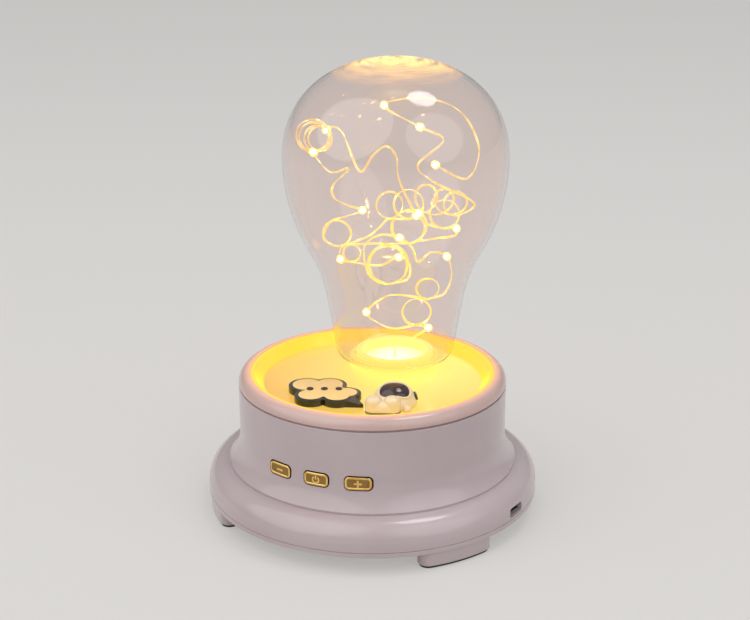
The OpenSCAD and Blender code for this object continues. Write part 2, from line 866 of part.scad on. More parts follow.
module fairy_wire() {
    echo(str("Least gap of the light string to itself: ", string_gap(string_loops), " mm"));
    color("goldenrod")
    translate([0, globe_back, z_seat])
        rotate([0, 0, string_turn])
            tube(string_points, wire_d, string_sides);
}

module fairy_leds() {
    color("lightyellow")
    translate([0, globe_back, z_seat])
        rotate([0, 0, string_turn])
            for (i = string_lights)
                translate(place(string_route[i]))
                    sphere(led_drop_d / 2);
}

// The cloud outline, drawn in by a border
module cloud(border) {
    for (l = sign_lobes)
        translate([l[0], l[1]] * tray_k)
            circle(l[2] * tray_k - border);
}
module on_sign(z) {
    translate(rise(sign_at * tray_k, z))
        rotate([0, 0, sign_turn])
            children();
}
module sign_plate() {
    color("black")
    on_sign(z_floor)
        linear_extrude(sign_t) {
            cloud(0);
            polygon(sign_tail * tray_k);
        }
}
module sign_face() {
    color("wheat")
    on_sign(z_floor + sign_t)
        linear_extrude(sign_face_t)
            cloud(sign_border);
}
module sign_dots() {
    color("black")
    on_sign(z_floor + sign_t + sign_face_t)
        for (x = [-1, 0, 1])
            translate([x * dot_pitch * tray_k, 0, 0])
                cylinder(r = dot_r, h = dot_t);
}

module on_figure() {
    translate(rise(figure_at * tray_k, z_floor))
        rotate([0, 0, figure_turn])
            children();
}
module visor_cut(grow) {
    rotate([visor_tilt, 0, 0])
        linear_extrude(far)
            round_rect(visor_w + 2 * grow, visor_h + 2 * grow, visor_corner + grow);
}
module figure_helmet() {
    color("white")
    on_figure()
    difference() {
        sphere(helmet_r);
        slab(far, -far, 0);
        difference() {
            visor_cut(fit_gap);
            sphere(helmet_r - visor_t);
        }
    }
}
module figure_visor() {
    color("black")
    on_figure()
    difference() {
        intersection() {
            visor_cut(0);
            sphere(helmet_r + visor_out);
        }
        sphere(helmet_r - visor_t + screw_gap);
    }
}
module figure_suit() {
    color("white")
    on_figure()
    difference() {
        union() {
            for (p = boot_places)
                translate(rise(p, 0)) {
                    cylinder(r = boot_r, h = boot_h - boot_r);
                    translate([0, 0, boot_h - boot_r])
                        sphere(boot_r);
                }
            translate(rise(torso_at, 0))
                sphere(torso_r);
            translate(rise(hand_at, hand_r / 2))
                sphere(hand_r);
        }
        slab(far, -far, 0);
        sphere(helmet_r + visor_out + screw_gap);
    }
}

// A push button: cap in the wall, flange behind it and a stem to the switch
module button(x) {
    reach = abs(x) + bumper_w / 2;
    y_flange = -sqrt(body_in * body_in - reach * reach) + slide_gap;
    color("goldenrod") {
        intersection() {
            slab(body_r + button_proud, 0, far);
            translate([x, y_flange + skin, z_button])
                rotate([90, 0, 0])
                    linear_extrude(body_r)
                        round_rect(button_w, button_tall, button_corner);
        }
        block([x - bumper_w / 2, y_flange, z_button - button_tall / 2 - button_flange],
              [x + bumper_w / 2, y_flange + button_flange_t, z_button + button_tall / 2 + button_flange]);
        bar_y(x, z_button, stem_r, y_flange + button_flange_t - skin, y_tip);
    }
}
module plunger(x) {
    color("black")
    bar_y(x, z_button, plunger_r, y_tip, y_switch - switch_depth + plunger_in);
}

module button_board() {
    color("darkgreen")
    difference() {
        block([-button_board_x, y_switch, z_button + button_board_z[0]],
              [button_board_x, y_switch + board_t, z_button + button_board_z[1]]);
        for (x = [-1, 1])
            bar_y(x * button_post_x, z_button, pin_hole_r, -far, 0);
    }
}
module switch_bodies() {
    color("silver")
    for (x = button_places)
        difference() {
            block([x - switch_w / 2, y_switch - switch_depth, z_button - switch_w / 2],
                  [x + switch_w / 2, y_switch, z_button + switch_w / 2]);
            bar_y(x, z_button, plunger_r + fit_gap, -far,
                  y_switch - switch_depth + plunger_in + button_travel + slide_gap);
        }
}

module charge_board() {
    color("darkgreen")
    at(port_angle, 0)
    difference() {
        block([-charge_w / 2, -charge_out, z_charge], [charge_w / 2, -charge_in, z_socket]);
        for (x = [-1, 1])
            translate([x * charge_screw_side, -charge_screw_at, 0])
                slab(pin_hole_r, 0, far);
    }
}
module charge_port() {
    mid = z_socket + socket_h / 2;
    back = -socket_r + socket_l;
    color("silver")
    at(port_angle, 0) {
        difference() {
            block([-socket_w / 2, -socket_r, z_socket], [socket_w / 2, back, z_socket + socket_h]);
            block([-socket_w / 2 + socket_wall, -far, z_socket + socket_wall],
                  [socket_w / 2 - socket_wall, back - socket_wall, z_socket + socket_h - socket_wall]);
        }
        block([-socket_w / 4, -socket_r + 1, mid - socket_tongue_h / 2],
              [socket_w / 4, back - skin, mid + socket_tongue_h / 2]);
    }
}

module main_board() {
    color("darkgreen")
    difference() {
        block([-main_out, -main_half, z_main], [-main_in, main_half, z_main_top]);
        for (p = main_posts)
            translate([p[0], p[1], 0])
                slab(pin_hole_r, 0, far);
    }
}
module main_board_parts() {
    color("dimgray")
    translate([0, 0, z_main_top]) {
        for (i = [0 : len(chip_places) - 1]) {
            size = chip_sizes[i];
            translate(rise(on_board(chip_places[i]), size[2] / 2))
                cube([size[0] * small_k, size[1] * small_k, size[2]], center = true);
        }
        for (p = can_places)
            translate([p[0], p[1], 0])
                cylinder(r = can_r, h = can_h);
    }
}
module plug_housings() {
    color("ivory") {
        for (p = plug_places)
            translate([p[0] - plug_size[0] / 2, p[1] - plug_size[1] / 2, z_main_top])
                cube(plug_size);
        at(port_angle, charge_plug_r)
            block([-plug_size[0] / 2, -plug_size[1] / 2, z_socket],
                  [plug_size[0] / 2, plug_size[1] / 2, z_socket + charge_plug_h]);
    }
}

module light_board() {
    color("white")
    difference() {
        slab(light_r, z_light, z_light_top);
        for (a = light_angles)
            at(a, light_post_at)
                slab(pin_hole_r, 0, far);
    }
}
module light_chips() {
    color("lightyellow")
    for (g = chip_rings)
        for (i = [0 : g[0] - 1])
            at(360 * (i + 0.5) / g[0], g[1] * light_r)
                translate([-chip_w / 2, -chip_w / 2, z_light_top])
                    cube([chip_w, chip_w, chip_t]);
}

module battery_cell() {
    color("royalblue")
    translate([-battery_l / 2, battery_y, z_battery])
        rotate([0, 90, 0])
            cylinder(r = battery_r, h = battery_l);
}
module battery_cradle() {
    bed_r = battery_r + saddle_gap;
    wide = bed_r + strap_t;
    saddle_out = max(battery_y + wide, saddle_in + rail_w);
    color("dimgray")
    difference() {
        union() {
            for (s = [-1, 1])
                translate([s * saddle_x - saddle_w / 2, 0, 0])
                    rotate([90, 0, 90])
                        linear_extrude(saddle_w)
                            polygon([
                                [saddle_in, z_ring], [saddle_out, z_ring], [saddle_out, z_battery],
                                [battery_y - wide, z_battery], [battery_y - wide, z_battery - saddle_step],
                                [saddle_in, z_ring + saddle_knee]
                            ]);
            block([-saddle_x, saddle_in, z_ring], [saddle_x, saddle_in + rail_w, z_ring + rail_h]);
        }
        translate([-far / 2, battery_y, z_battery])
            rotate([0, 90, 0])
                cylinder(r = bed_r, h = far);
    }
}
module battery_straps() {
    bed_r = battery_r + saddle_gap;
    color("black")
    for (s = [-1, 1])
        translate([s * saddle_x - strap_w / 2, battery_y, z_battery])
            rotate([90, 0, 90])
                rotate_extrude(angle = 180)
                    translate([bed_r, 0])
                        square([strap_t, strap_w]);
}

module grille_cloth() {
    color("black")
    slab(gasket_in - slide_gap, z_ring, z_ring + cloth_t);
}
module speaker_gasket() {
    color("black")
    washer(speaker_r, gasket_in, z_ring, z_front);
}
module speaker_frame() {
    inner = basket_r - basket_wall;
    color("dimgray")
    difference() {
        union() {
            washer(speaker_r, gasket_in, z_front, z_basket);
            rotate_extrude()
                polygon([
                    [inner, z_basket - skin], [basket_r, z_basket - skin],
                    [back_r + basket_wall, z_basket_back],
                    [back_r, z_plate], [coil_r + 1.2, z_plate], [coil_r + 1.2, z_basket_back],
                    [back_r, z_basket_back]
                ]);
            block([-tab_w / 2, -back_r - tab_l, z_basket_back], [tab_w / 2, -back_r + 1, z_plate]);
        }
        for (a = [0 : 90 : 270])
            at(a, 0)
                block([-tab_w, -far, z_basket + 2], [tab_w, 0, z_basket_back - 3]);
    }
}

// A waved skirt that rises from an outer edge to an inner one
function waved(r0, r1, z0, rise, wave, waves) =
    let (n = 8 * waves)
    [for (i = [0 : n]) [r0 + (r1 - r0) * i / n, z0 + rise * i / n + wave * sin(360 * waves * i / n)]];
module skirt(low, t) {
    rotate_extrude()
        polygon(concat(low, [for (i = [len(low) - 1 : -1 : 0]) low[i] + [0, t]]));
}
// The flexible edge between frame and cone, and the waved disc that centres the coil
module surround() {
    color("black") {
        washer(gasket_in + surround_lip, gasket_in - skin, z_basket, z_basket + surround_t);
        skirt(waved(gasket_in, cone_r + fit_gap, z_basket, surround_rise, surround_wave, surround_waves),
              surround_t);
    }
}
module spider() {
    color("goldenrod")
    skirt(waved(spider_r, coil_r + fit_gap, z_spider, spider_rise, spider_wave, spider_waves), spider_t);
}
module speaker_cone() {
    color("dimgray")
    rotate_extrude()
        polygon([
            [cone_r, z_cone], [cone_r, z_cone + cone_wall], [coil_r, z_apex + cone_wall], [coil_r, z_apex]
        ]);
}
module dust_cap() {
    edge_z = z_apex - (cap_r - coil_r) * cone_depth / (cone_r - coil_r);
    color("black")
    rotate_extrude()
        polygon(concat(
            [for (i = [0 : arc_steps]) let (a = 90 * i / arc_steps)
                [cap_r * cos(a), edge_z - cap_h * sin(a)]],
            [for (i = [arc_steps : -1 : 0]) let (a = 90 * i / arc_steps)
                [(cap_r - cap_wall) * cos(a), edge_z - (cap_h - cap_wall) * sin(a)]]
        ));
}
module voice_coil() {
    color("peru")
    washer(coil_r, coil_r - coil_wall, z_apex - coil_wall, z_magnet + coil_wall);
}
module top_plate() {
    color("silver")
    washer(plate_r, coil_r + coil_gap, z_plate, z_magnet);
}
module magnet() {
    color("dimgray")
    washer(magnet_d / 2, magnet_in, z_magnet, z_yoke);
}
module pole_yoke() {
    color("silver") {
        slab(plate_r, z_yoke, z_yoke + yoke_t);
        slab(pole_r, z_plate, z_yoke + skin);
    }
}

module cover_screws() {
    color("silver")
    for (a = case_angles)
        at(a, case_r) {
            slab(case_head_r, z_case_head - case_head_h, z_case_head);
            slab(case_screw_r, z_case_head - skin, z_case_boss + case_thread);
        }
}
module speaker_screws() {
    color("silver")
    for (a = clamp_angles)
        at(a, clamp_at)
            screw(pin_screw_r, clamp_thread, clamp_head_r, pin_head_h, z_basket);
}
module board_screws() {
    board_back = y_switch + board_t;
    color("silver") {
        for (p = main_posts)
            translate([p[0], p[1], 0])
                screw(pin_screw_r, board_t + main_thread - slide_gap, pin_head_r, pin_head_h, z_main_top);
        at(port_angle, 0)
            for (x = [-1, 1])
                translate([x * charge_screw_side, -charge_screw_at, 0])
                    screw(pin_screw_r, board_t + charge_thread - slide_gap, pin_head_r, pin_head_h, z_socket);
        for (a = light_angles)
            at(a, light_post_at) {
                slab(pin_head_r, z_light - pin_head_h, z_light);
                slab(pin_screw_r, z_light - skin, z_light_top + light_thread);
            }
        for (x = [-1, 1]) {
            bar_y(x * button_post_x, z_button, pin_head_r, board_back, board_back + pin_head_h);
            bar_y(x * button_post_x, z_button, pin_screw_r, y_switch - button_thread + slide_gap,
                  board_back + skin);
        }
    }
}

module light_lead() {
    color("firebrick")
    translate([plug_light[0], plug_light[1], 0])
        slab(lead_d / 2, z_plug, z_light);
}
module button_lead() {
    color("dimgray")
    tube(lead_points(route_button), lead_d, lead_sides);
}
module battery_lead() {
    color("firebrick")
    tube(lead_points(route_battery), lead_d, lead_sides);
}
module speaker_lead() {
    color("dimgray")
    tube(lead_points(route_speaker), lead_d, lead_sides);
}
module charge_lead() {
    color("firebrick")
    tube(lead_points(route_charge), lead_d, lead_sides);
}

bottom_cover();
foot(foot_angles[0]);  // foot_front_left
foot(foot_angles[1]);  // foot_front_right
foot(foot_angles[2]);  // foot_rear_left
foot(foot_angles[3]);  // foot_rear_right
foot_pads();
base_ring();
body_shell();
rim_ring();
tray();
bulb_seat();
seat_lens();
bulb_globe();
fairy_wire();
fairy_leds();
sign_plate();
sign_face();
sign_dots();
figure_helmet();
figure_visor();
figure_suit();
button(button_places[0]);  // button_minus
button(button_places[1]);  // button_power
button(button_places[2]);  // button_plus
plunger(button_places[0]);  // plunger_minus
plunger(button_places[1]);  // plunger_power
plunger(button_places[2]);  // plunger_plus
button_board();
switch_bodies();
charge_board();
charge_port();
main_board();
main_board_parts();
plug_housings();
light_board();
light_chips();
battery_cell();
battery_cradle();
battery_straps();
grille_cloth();
speaker_gasket();
speaker_frame();
surround();
speaker_cone();
dust_cap();
voice_coil();
spider();
top_plate();
magnet();
pole_yoke();
cover_screws();
speaker_screws();
board_screws();
light_lead();
button_lead();
battery_lead();
speaker_lead();
charge_lead();
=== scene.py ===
"""Looks of the speaker lamp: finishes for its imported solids, and the finer pieces that stand for some."""

import logging
import math
from dataclasses import dataclass, field
from enum import Enum

import bmesh
import bpy
from mathutils import Matrix, Vector


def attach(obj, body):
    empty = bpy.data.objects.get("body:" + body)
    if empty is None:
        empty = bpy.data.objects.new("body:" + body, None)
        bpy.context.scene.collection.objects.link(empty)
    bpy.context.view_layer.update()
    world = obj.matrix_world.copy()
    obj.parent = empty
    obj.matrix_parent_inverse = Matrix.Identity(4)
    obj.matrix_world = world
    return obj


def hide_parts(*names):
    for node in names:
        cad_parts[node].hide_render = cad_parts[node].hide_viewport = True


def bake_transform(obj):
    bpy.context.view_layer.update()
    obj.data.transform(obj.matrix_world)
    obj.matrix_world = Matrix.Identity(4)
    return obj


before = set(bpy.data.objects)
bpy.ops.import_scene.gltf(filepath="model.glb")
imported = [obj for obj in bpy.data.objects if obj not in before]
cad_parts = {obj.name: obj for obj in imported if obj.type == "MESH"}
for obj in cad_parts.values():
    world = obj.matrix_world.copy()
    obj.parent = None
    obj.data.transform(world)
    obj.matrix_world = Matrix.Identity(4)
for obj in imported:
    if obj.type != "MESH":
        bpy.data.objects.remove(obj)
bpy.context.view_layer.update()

LOG = logging.getLogger("speaker_lamp")
Point2 = tuple[float, float]
Point3 = tuple[float, float, float]
Colour = tuple[float, float, float, float]
Shape = bmesh.types.BMesh
Piece = bpy.types.Object
Material = bpy.types.Material
Tree = bpy.types.NodeTree
Node = bpy.types.Node
Socket = bpy.types.NodeSocket

MM = 0.001
HOUSING = "housing"
BLACK = (0.0, 0.0, 0.0, 1.0)
WHITE = (1.0, 1.0, 1.0, 1.0)

# Limits for shapes: how near in millimetres points merge, what counts as no length, and the half angle in
# degrees from which a corner counts as straight
MERGE = 1e-5
TINY = 1e-6
STRAIGHT = 88.0

# Shared by several sub-assemblies: lengths in millimetres, and a turn in degrees from the front
TRAY_Z = 50.0
GLOBE_Y = 22.98
SEAT_Z = 52.5
BOARD_Z = 43.2
FACING = 23.0
BUTTON_PITCH = 15.8
BUTTON_Z = 30.2


def srgb(red: int, green: int, blue: int) -> Colour:
    """Turns a display colour into the linear one that shaders take.

    Args:
        red: Red from 0 to 255.
        green: Green from 0 to 255.
        blue: Blue from 0 to 255.

    Returns:
        The linear colour with full alpha.
    """
    def line(value: float) -> float:
        """Undoes the display curve for one channel."""
        return value / 12.92 if value <= 0.04045 else ((value + 0.055) / 1.055) ** 2.4

    return (line(red / 255), line(green / 255), line(blue / 255), 1.0)


# Shapes


def arc(x: float, y: float, r: float, start: float, end: float, steps: int) -> list[Point2]:
    """Points of an arc about x and y between two angles in degrees, both ends with them."""
    turns = [math.radians(start + (end - start) * i / steps) for i in range(steps + 1)]
    return [(x + r * math.cos(t), y + r * math.sin(t)) for t in turns]


def circle(count: int) -> list[float]:
    """Even angles all round, in radians."""
    return [2 * math.pi * k / count for k in range(count)]


def eased(corners: list[Point3], steps: int = 6) -> list[Point2]:
    """Rounds the corners of a closed outline.

    Args:
        corners: Points of the outline, each with the radius of its round.
        steps: Steps of each round.

    Returns:
        The outline with its rounds.
    """
    out: list[Point2] = []
    count = len(corners)
    for i, (x, y, r) in enumerate(corners):
        here = Vector((x, y))
        before = Vector(corners[i - 1][:2]) - here
        after = Vector(corners[(i + 1) % count][:2]) - here
        if r <= 0 or before.length < TINY or after.length < TINY:
            out.append((x, y))
            continue
        before.normalize()
        after.normalize()
        half = math.acos(max(-1.0, min(1.0, before.dot(after)))) / 2
        if half > math.radians(STRAIGHT):
            out.append((x, y))
            continue
        reach = r / math.tan(half)
        start, end = here + before * reach, here + after * reach
        for k in range(steps + 1):
            t = k / steps
            p = start.lerp(here, t).lerp(here.lerp(end, t), t)
            out.append((p.x, p.y))
    return out


def round_box(width: float, height: float, corner: float, steps: int = 6, sides: int = 1) -> list[Point2]:
    """Outline of a rounded rectangle about its middle.

    Args:
        width: Width.
        height: Height.
        corner: Radius of its corners.
        steps: Steps of each corner.
        sides: Steps of each straight side.

    Returns:
        Its points, with the same count for any size.
    """
    x, y = width / 2 - corner, height / 2 - corner
    bends = [arc(sx * x, sy * y, corner, 90 * i, 90 * i + 90, steps)
             for i, (sx, sy) in enumerate(((1, 1), (-1, 1), (-1, -1), (1, -1)))]
    out: list[Point2] = []
    for i, bend in enumerate(bends):
        (ax, ay), (bx, by) = bend[-1], bends[(i + 1) % 4][0]
        shares = [k / sides for k in range(1, sides)]
        out += bend + [(ax + (bx - ax) * t, ay + (by - ay) * t) for t in shares]
    return out


def front_turn(angle: float) -> Matrix:
    """A turn about the lamp's axis, in degrees from the front."""
    return Matrix.Rotation(math.radians(angle), 4, "Z")


def to_back() -> Matrix:
    """A turn that points Z to the back of the lamp."""
    return Matrix.Rotation(math.radians(-90), 4, "X")


def moved(place: Matrix, points: list[Point3]) -> list[Point3]:
    """Moves points as a matrix says."""
    return [tuple(place @ Vector(p)) for p in points]


def lathe(shape: Shape, profile: list[Point2], place: Matrix | None = None, around: int = 192) -> None:
    """Turns a closed profile about an axis.

    Args:
        shape: Where the faces go.
        profile: Radius and height of each point, in order.
        place: Where the axis stands, or upright at the origin.
        around: Number of steps round the axis.
    """
    place = place or Matrix.Identity(4)
    turns = circle(around)
    rings: list[list[bmesh.types.BMVert]] = []
    for r, z in profile:
        if r < TINY:
            rings.append([shape.verts.new(place @ Vector((0, 0, z)))] * around)
        else:
            ring = [Vector((r * math.cos(t), r * math.sin(t), z)) for t in turns]
            rings.append([shape.verts.new(place @ p) for p in ring])
    for i, ring in enumerate(rings):
        above = rings[(i + 1) % len(rings)]
        for k in range(around):
            j = (k + 1) % around
            corners = list(dict.fromkeys((ring[k], ring[j], above[j], above[k])))
            if len(corners) > 2:
                shape.faces.new(corners)


def stack(shape: Shape, layers: list[list[Point3]], shut: bool = True) -> None:
    """Joins closed outlines of equal count into one closed body.

    Args:
        shape: Where the faces go.
        layers: The outlines, from one end to the other.
        shut: Whether the last outline gets a flat face; one that folds onto a line needs none.
    """
    rings = [[shape.verts.new(p) for p in layer] for layer in layers]
    count = len(layers[0])
    for low, high in zip(rings, rings[1:]):
        for k in range(count):
            j = (k + 1) % count
            shape.faces.new((low[k], low[j], high[j], high[k]))
    shape.faces.new(list(reversed(rings[0])))
    if shut:
        shape.faces.new(rings[-1])


def hoop(shape: Shape, line: list[Vector], r: float, sides: int = 10) -> None:
    """Sweeps a round bead along a closed line.

    Args:
        shape: Where the faces go.
        line: Points of the line.
        r: Radius of the bead.
        sides: Sides of the bead.
    """
    count = len(line)
    middle = sum(line, Vector()) / count
    rings = []
    for i, p in enumerate(line):
        along = (line[(i + 1) % count] - line[i - 1]).normalized()
        out = (p - middle).cross(along).cross(along).normalized()
        up = out.cross(along)
        rings.append([shape.verts.new(p + r * (math.cos(t) * out + math.sin(t) * up)) for t in circle(sides)])
    for i, ring in enumerate(rings):
        after = rings[(i + 1) % count]
        for k in range(sides):
            j = (k + 1) % sides
            shape.faces.new((ring[k], ring[j], after[j], after[k]))


def closed(shape: Shape) -> None:
    """Merges doubled points and turns all faces outwards."""
    bmesh.ops.remove_doubles(shape, verts=shape.verts, dist=MERGE)
    bmesh.ops.recalc_face_normals(shape, faces=shape.faces)


def shown(name: str, mesh: bpy.types.Mesh) -> Piece:
    """Puts a mesh into the scene.

    Args:
        name: Name of the object.
        mesh: Its mesh.

    Returns:
        The object, at the origin.
    """
    piece = bpy.data.objects.new(name, mesh)
    bpy.context.scene.collection.objects.link(piece)
    return piece


def meshed(name: str, shape: Shape) -> bpy.types.Mesh:
    """Turns a shape into a mesh.

    Args:
        name: Name of the mesh.
        shape: The shape, which is freed.

    Returns:
        The mesh.
    """
    mesh = bpy.data.meshes.new(name)
    shape.to_mesh(mesh)
    shape.free()
    return mesh


def settled(piece: Piece) -> bpy.types.Mesh:
    """Gives a plain mesh of an object with its modifiers."""
    graph = bpy.context.evaluated_depsgraph_get()
    return bpy.data.meshes.new_from_object(piece.evaluated_get(graph), depsgraph=graph)


def finished(name: str, shape: Shape, material: Material, sharp: float) -> Piece:
    """Turns a shape in millimetres into a smooth piece in metres.

    Args:
        name: Name of the piece.
        shape: The shape, which is freed.
        material: Its finish.
        sharp: Edges over this angle in degrees stay sharp.

    Returns:
        The piece, at the origin.
    """
    closed(shape)
    bmesh.ops.scale(shape, vec=(MM, MM, MM), verts=shape.verts)
    mesh = meshed(name, shape)
    mesh.shade_smooth()
    mesh.set_sharp_from_angle(angle=math.radians(sharp))
    mesh.materials.append(material)
    return shown(name, mesh)


def worked(shape: Shape, steps: list[tuple[str, dict]]) -> Shape:
    """Runs modifiers on a shape.

    Args:
        shape: The shape, which is freed.
        steps: The kind of each modifier and its settings.

    Returns:
        The worked shape.
    """
    closed(shape)
    body = shown("work", meshed("work", shape))
    for kind, settings in steps:
        modifier = body.modifiers.new(kind.lower(), kind)
        for key, value in settings.items():
            setattr(modifier, key, value)
    result = settled(body)
    out = bmesh.new()
    out.from_mesh(result)
    bpy.data.meshes.remove(body.data)
    bpy.data.meshes.remove(result)
    return out


def cut(shape: Shape, tool: Shape) -> Shape:
    """Cuts one shape out of another.

    Args:
        shape: The shape, which is freed.
        tool: What is cut away, which is freed.

    Returns:
        The cut shape.
    """
    bmesh.ops.recalc_face_normals(tool, faces=tool.faces)
    cutter = shown("cutter", meshed("cutter", tool))
    out = worked(shape, [("BOOLEAN", {"operation": "DIFFERENCE", "solver": "EXACT", "object": cutter})])
    bpy.data.meshes.remove(cutter.data)
    return out


# Nodes, and effects that several finishes share


class Nodes:
    """Short ways to place, find and join the nodes of one tree."""

    # A mix node lists its sockets once for each kind of value. These are the places of the colours.
    LOW, HIGH, MIXED = 6, 7, 2

    def __init__(self, tree: Tree) -> None:
        """Keeps the tree."""
        self.tree = tree

    def add(self, kind: str, values: dict | None = None, **settings: object) -> Node:
        """Places a node.

        Args:
            kind: Type of the node.
            values: Plain values of its inputs, by name or number.
            **settings: Its own properties.

        Returns:
            The node.
        """
        node = self.tree.nodes.new(kind)
        for name, value in settings.items():
            setattr(node, name, value)
        for name, value in (values or {}).items():
            node.inputs[name].default_value = value
        return node

    def after(self, source: Socket, kind: str, values: dict | None = None, **settings: object) -> Node:
        """Places a node whose first input takes a socket.

        Args:
            source: The socket.
            kind: Type of the node.
            values: Plain values of its inputs, by name or number.
            **settings: Its own properties.

        Returns:
            The node.
        """
        node = self.add(kind, values, **settings)
        self.join(source, node.inputs[0])
        return node

    def found(self, kind: str) -> Node:
        """Gives the tree's own node of a type."""
        return next(node for node in self.tree.nodes if node.type == kind)

    def join(self, source: Socket, target: Socket) -> None:
        """Joins two sockets."""
        self.tree.links.new(source, target)

    def put(self, value: object, target: Socket) -> None:
        """Joins a socket to an input, or gives the input a plain value.

        Args:
            value: The socket or the plain value.
            target: The input.
        """
        if isinstance(value, Socket):
            self.join(value, target)
        else:
            target.default_value = value

    def feed(self, node: Node, **sources: Socket) -> Node:
        """Joins sockets to inputs of a node.

        Args:
            node: The node.
            **sources: The sockets by the names of the inputs, with _ for a space.

        Returns:
            The node.
        """
        for key, source in sources.items():
            self.join(source, node.inputs[key.replace("_", " ")])
        return node

    def place(self) -> Socket:
        """Gives the place on the surface, in the lamp's own frame."""
        return self.add("ShaderNodeTexCoord").outputs["Object"]

    def vector(self, **parts: object) -> Socket:
        """Makes a vector of its parts.

        Args:
            **parts: Sockets or plain numbers named X, Y and Z.

        Returns:
            The vector's socket.
        """
        node = self.add("ShaderNodeCombineXYZ")
        for key, part in parts.items():
            self.put(part, node.inputs[key])
        return node.outputs["Vector"]

    def maths(self, operation: str, a: object, b: object = 0.0, clamp: bool = False) -> Socket:
        """Places a sum on sockets or plain numbers.

        Args:
            operation: Name of the sum.
            a: First socket or number.
            b: Second socket or number.
            clamp: Whether the result stays from 0 to 1.

        Returns:
            The result's socket.
        """
        node = self.add("ShaderNodeMath", operation=operation, use_clamp=clamp)
        self.put(a, node.inputs[0])
        self.put(b, node.inputs[1])
        return node.outputs[0]

    def blend(self, mask: Socket, low: object, high: object) -> Socket:
        """Blends two colours by a mask.

        Args:
            mask: Mask from 0 to 1.
            low: Colour at 0, or its socket.
            high: Colour at 1, or its socket.

        Returns:
            The blended colour.
        """
        node = self.add("ShaderNodeMix", data_type="RGBA", clamp_factor=True)
        self.join(mask, node.inputs["Factor"])
        self.put(low, node.inputs[self.LOW])
        self.put(high, node.inputs[self.HIGH])
        return node.outputs[self.MIXED]

    def choose(self, share: Socket, first: Socket, second: Socket) -> Socket:
        """Mixes two shaders.

        Args:
            share: Share of the second shader.
            first: The first shader.
            second: The second shader.

        Returns:
            The mixed shader.
        """
        node = self.after(share, "ShaderNodeMixShader")
        self.join(first, node.inputs[1])
        self.join(second, node.inputs[2])
        return node.outputs[0]

    def span(self, value: Socket, low: float, high: float, to: Point2 = (0, 1)) -> Socket:
        """Maps a value from the span of low and high to another span, and holds it there."""
        values = {"From Min": low, "From Max": high, "To Min": to[0], "To Max": to[1]}
        return self.after(value, "ShaderNodeMapRange", values, clamp=True).outputs["Result"]


class Effect(Enum):
    """Effects that several finishes share, each one group of nodes."""

    MOULDED = "moulded_skin"
    HANDLED = "handled_marks"
    FROM_AXIS = "distance_from_axis"

    def group(self) -> Tree:
        """Finds the effect's group, or makes it the first time.

        Returns:
            The group.
        """
        found = bpy.data.node_groups.get(self.value)
        return found or {
            Effect.MOULDED: moulded_skin, Effect.HANDLED: handled_marks, Effect.FROM_AXIS: distance_from_axis,
        }[self](self.value)


def open_group(name: str, inputs: dict[str, float], outputs: list[str]) -> tuple[Nodes, Node, Node]:
    """Starts a group with named inputs and outputs.

    Args:
        name: Name of the group.
        inputs: Its inputs with their usual values.
        outputs: Its outputs.

    Returns:
        The tree's nodes, its input node and its output node.
    """
    tree = bpy.data.node_groups.new(name, "ShaderNodeTree")
    for key, value in inputs.items():
        tree.interface.new_socket(key, in_out="INPUT", socket_type="NodeSocketFloat").default_value = value
    for key in outputs:
        tree.interface.new_socket(key, in_out="OUTPUT", socket_type="NodeSocketFloat")
    nodes = Nodes(tree)
    return nodes, nodes.add("NodeGroupInput"), nodes.add("NodeGroupOutput")


def moulded_skin(name: str) -> Tree:
    """The skin of moulded plastic: a fine texture, and slow waves of tone where it cooled.

    Args:
        name: Name of the group.

    Returns:
        The group, with Height and Tone.
    """
    tone_span = (0.3, 0.7)
    nodes, given, out = open_group(name, {"Fineness": 2500.0}, ["Height", "Tone"])
    where = nodes.place()
    fine = nodes.after(where, "ShaderNodeTexNoise", {"Detail": 2.0, "Roughness": 0.5})
    slow = nodes.after(where, "ShaderNodeTexNoise", {"Scale": 28.0, "Detail": 3.0, "Roughness": 0.55})
    nodes.feed(fine, Scale=given.outputs["Fineness"])
    nodes.feed(out, Height=fine.outputs["Fac"], Tone=nodes.span(slow.outputs["Fac"], *tone_span))
    return nodes.tree


def handled_marks(name: str) -> Tree:
    """Faint smears and specks of dust from handling.

    Args:
        name: Name of the group.

    Returns:
        The group, with Smear and Speck.
    """
    smear_span, speck_span = (0.48, 0.72), (0.12, 0.05)
    nodes, given, out = open_group(name, {"Size": 60.0}, ["Smear", "Speck"])
    where = nodes.place()
    smear = nodes.after(where, "ShaderNodeTexNoise", {"Detail": 5.0, "Roughness": 0.62, "Distortion": 1.4})
    speck = nodes.after(where, "ShaderNodeTexVoronoi", {"Scale": 900.0}, feature="F1")
    nodes.feed(smear, Scale=given.outputs["Size"])
    nodes.feed(out, Smear=nodes.span(smear.outputs["Fac"], *smear_span),
               Speck=nodes.span(speck.outputs["Distance"], *speck_span))
    return nodes.tree


def distance_from_axis(name: str) -> Tree:
    """How far a place is from an upright axis, as a share between two radii.

    Args:
        name: Name of the group.

    Returns:
        The group, with Share.
    """
    nodes, given, out = open_group(name, {"Axis X": 0.0, "Axis Y": 0.0, "Near": 0.0, "Far": 0.05}, ["Share"])
    where = nodes.after(nodes.place(), "ShaderNodeSeparateXYZ")
    dx = nodes.maths("SUBTRACT", where.outputs["X"], given.outputs["Axis X"])
    dy = nodes.maths("SUBTRACT", where.outputs["Y"], given.outputs["Axis Y"])
    squares = nodes.maths("ADD", nodes.maths("MULTIPLY", dx, dx), nodes.maths("MULTIPLY", dy, dy))
    past = nodes.maths("SUBTRACT", nodes.maths("SQRT", squares), given.outputs["Near"])
    width = nodes.maths("SUBTRACT", given.outputs["Far"], given.outputs["Near"])
    nodes.feed(out, Share=nodes.maths("DIVIDE", past, width, clamp=True))
    return nodes.tree


# Finishes, with lengths in metres


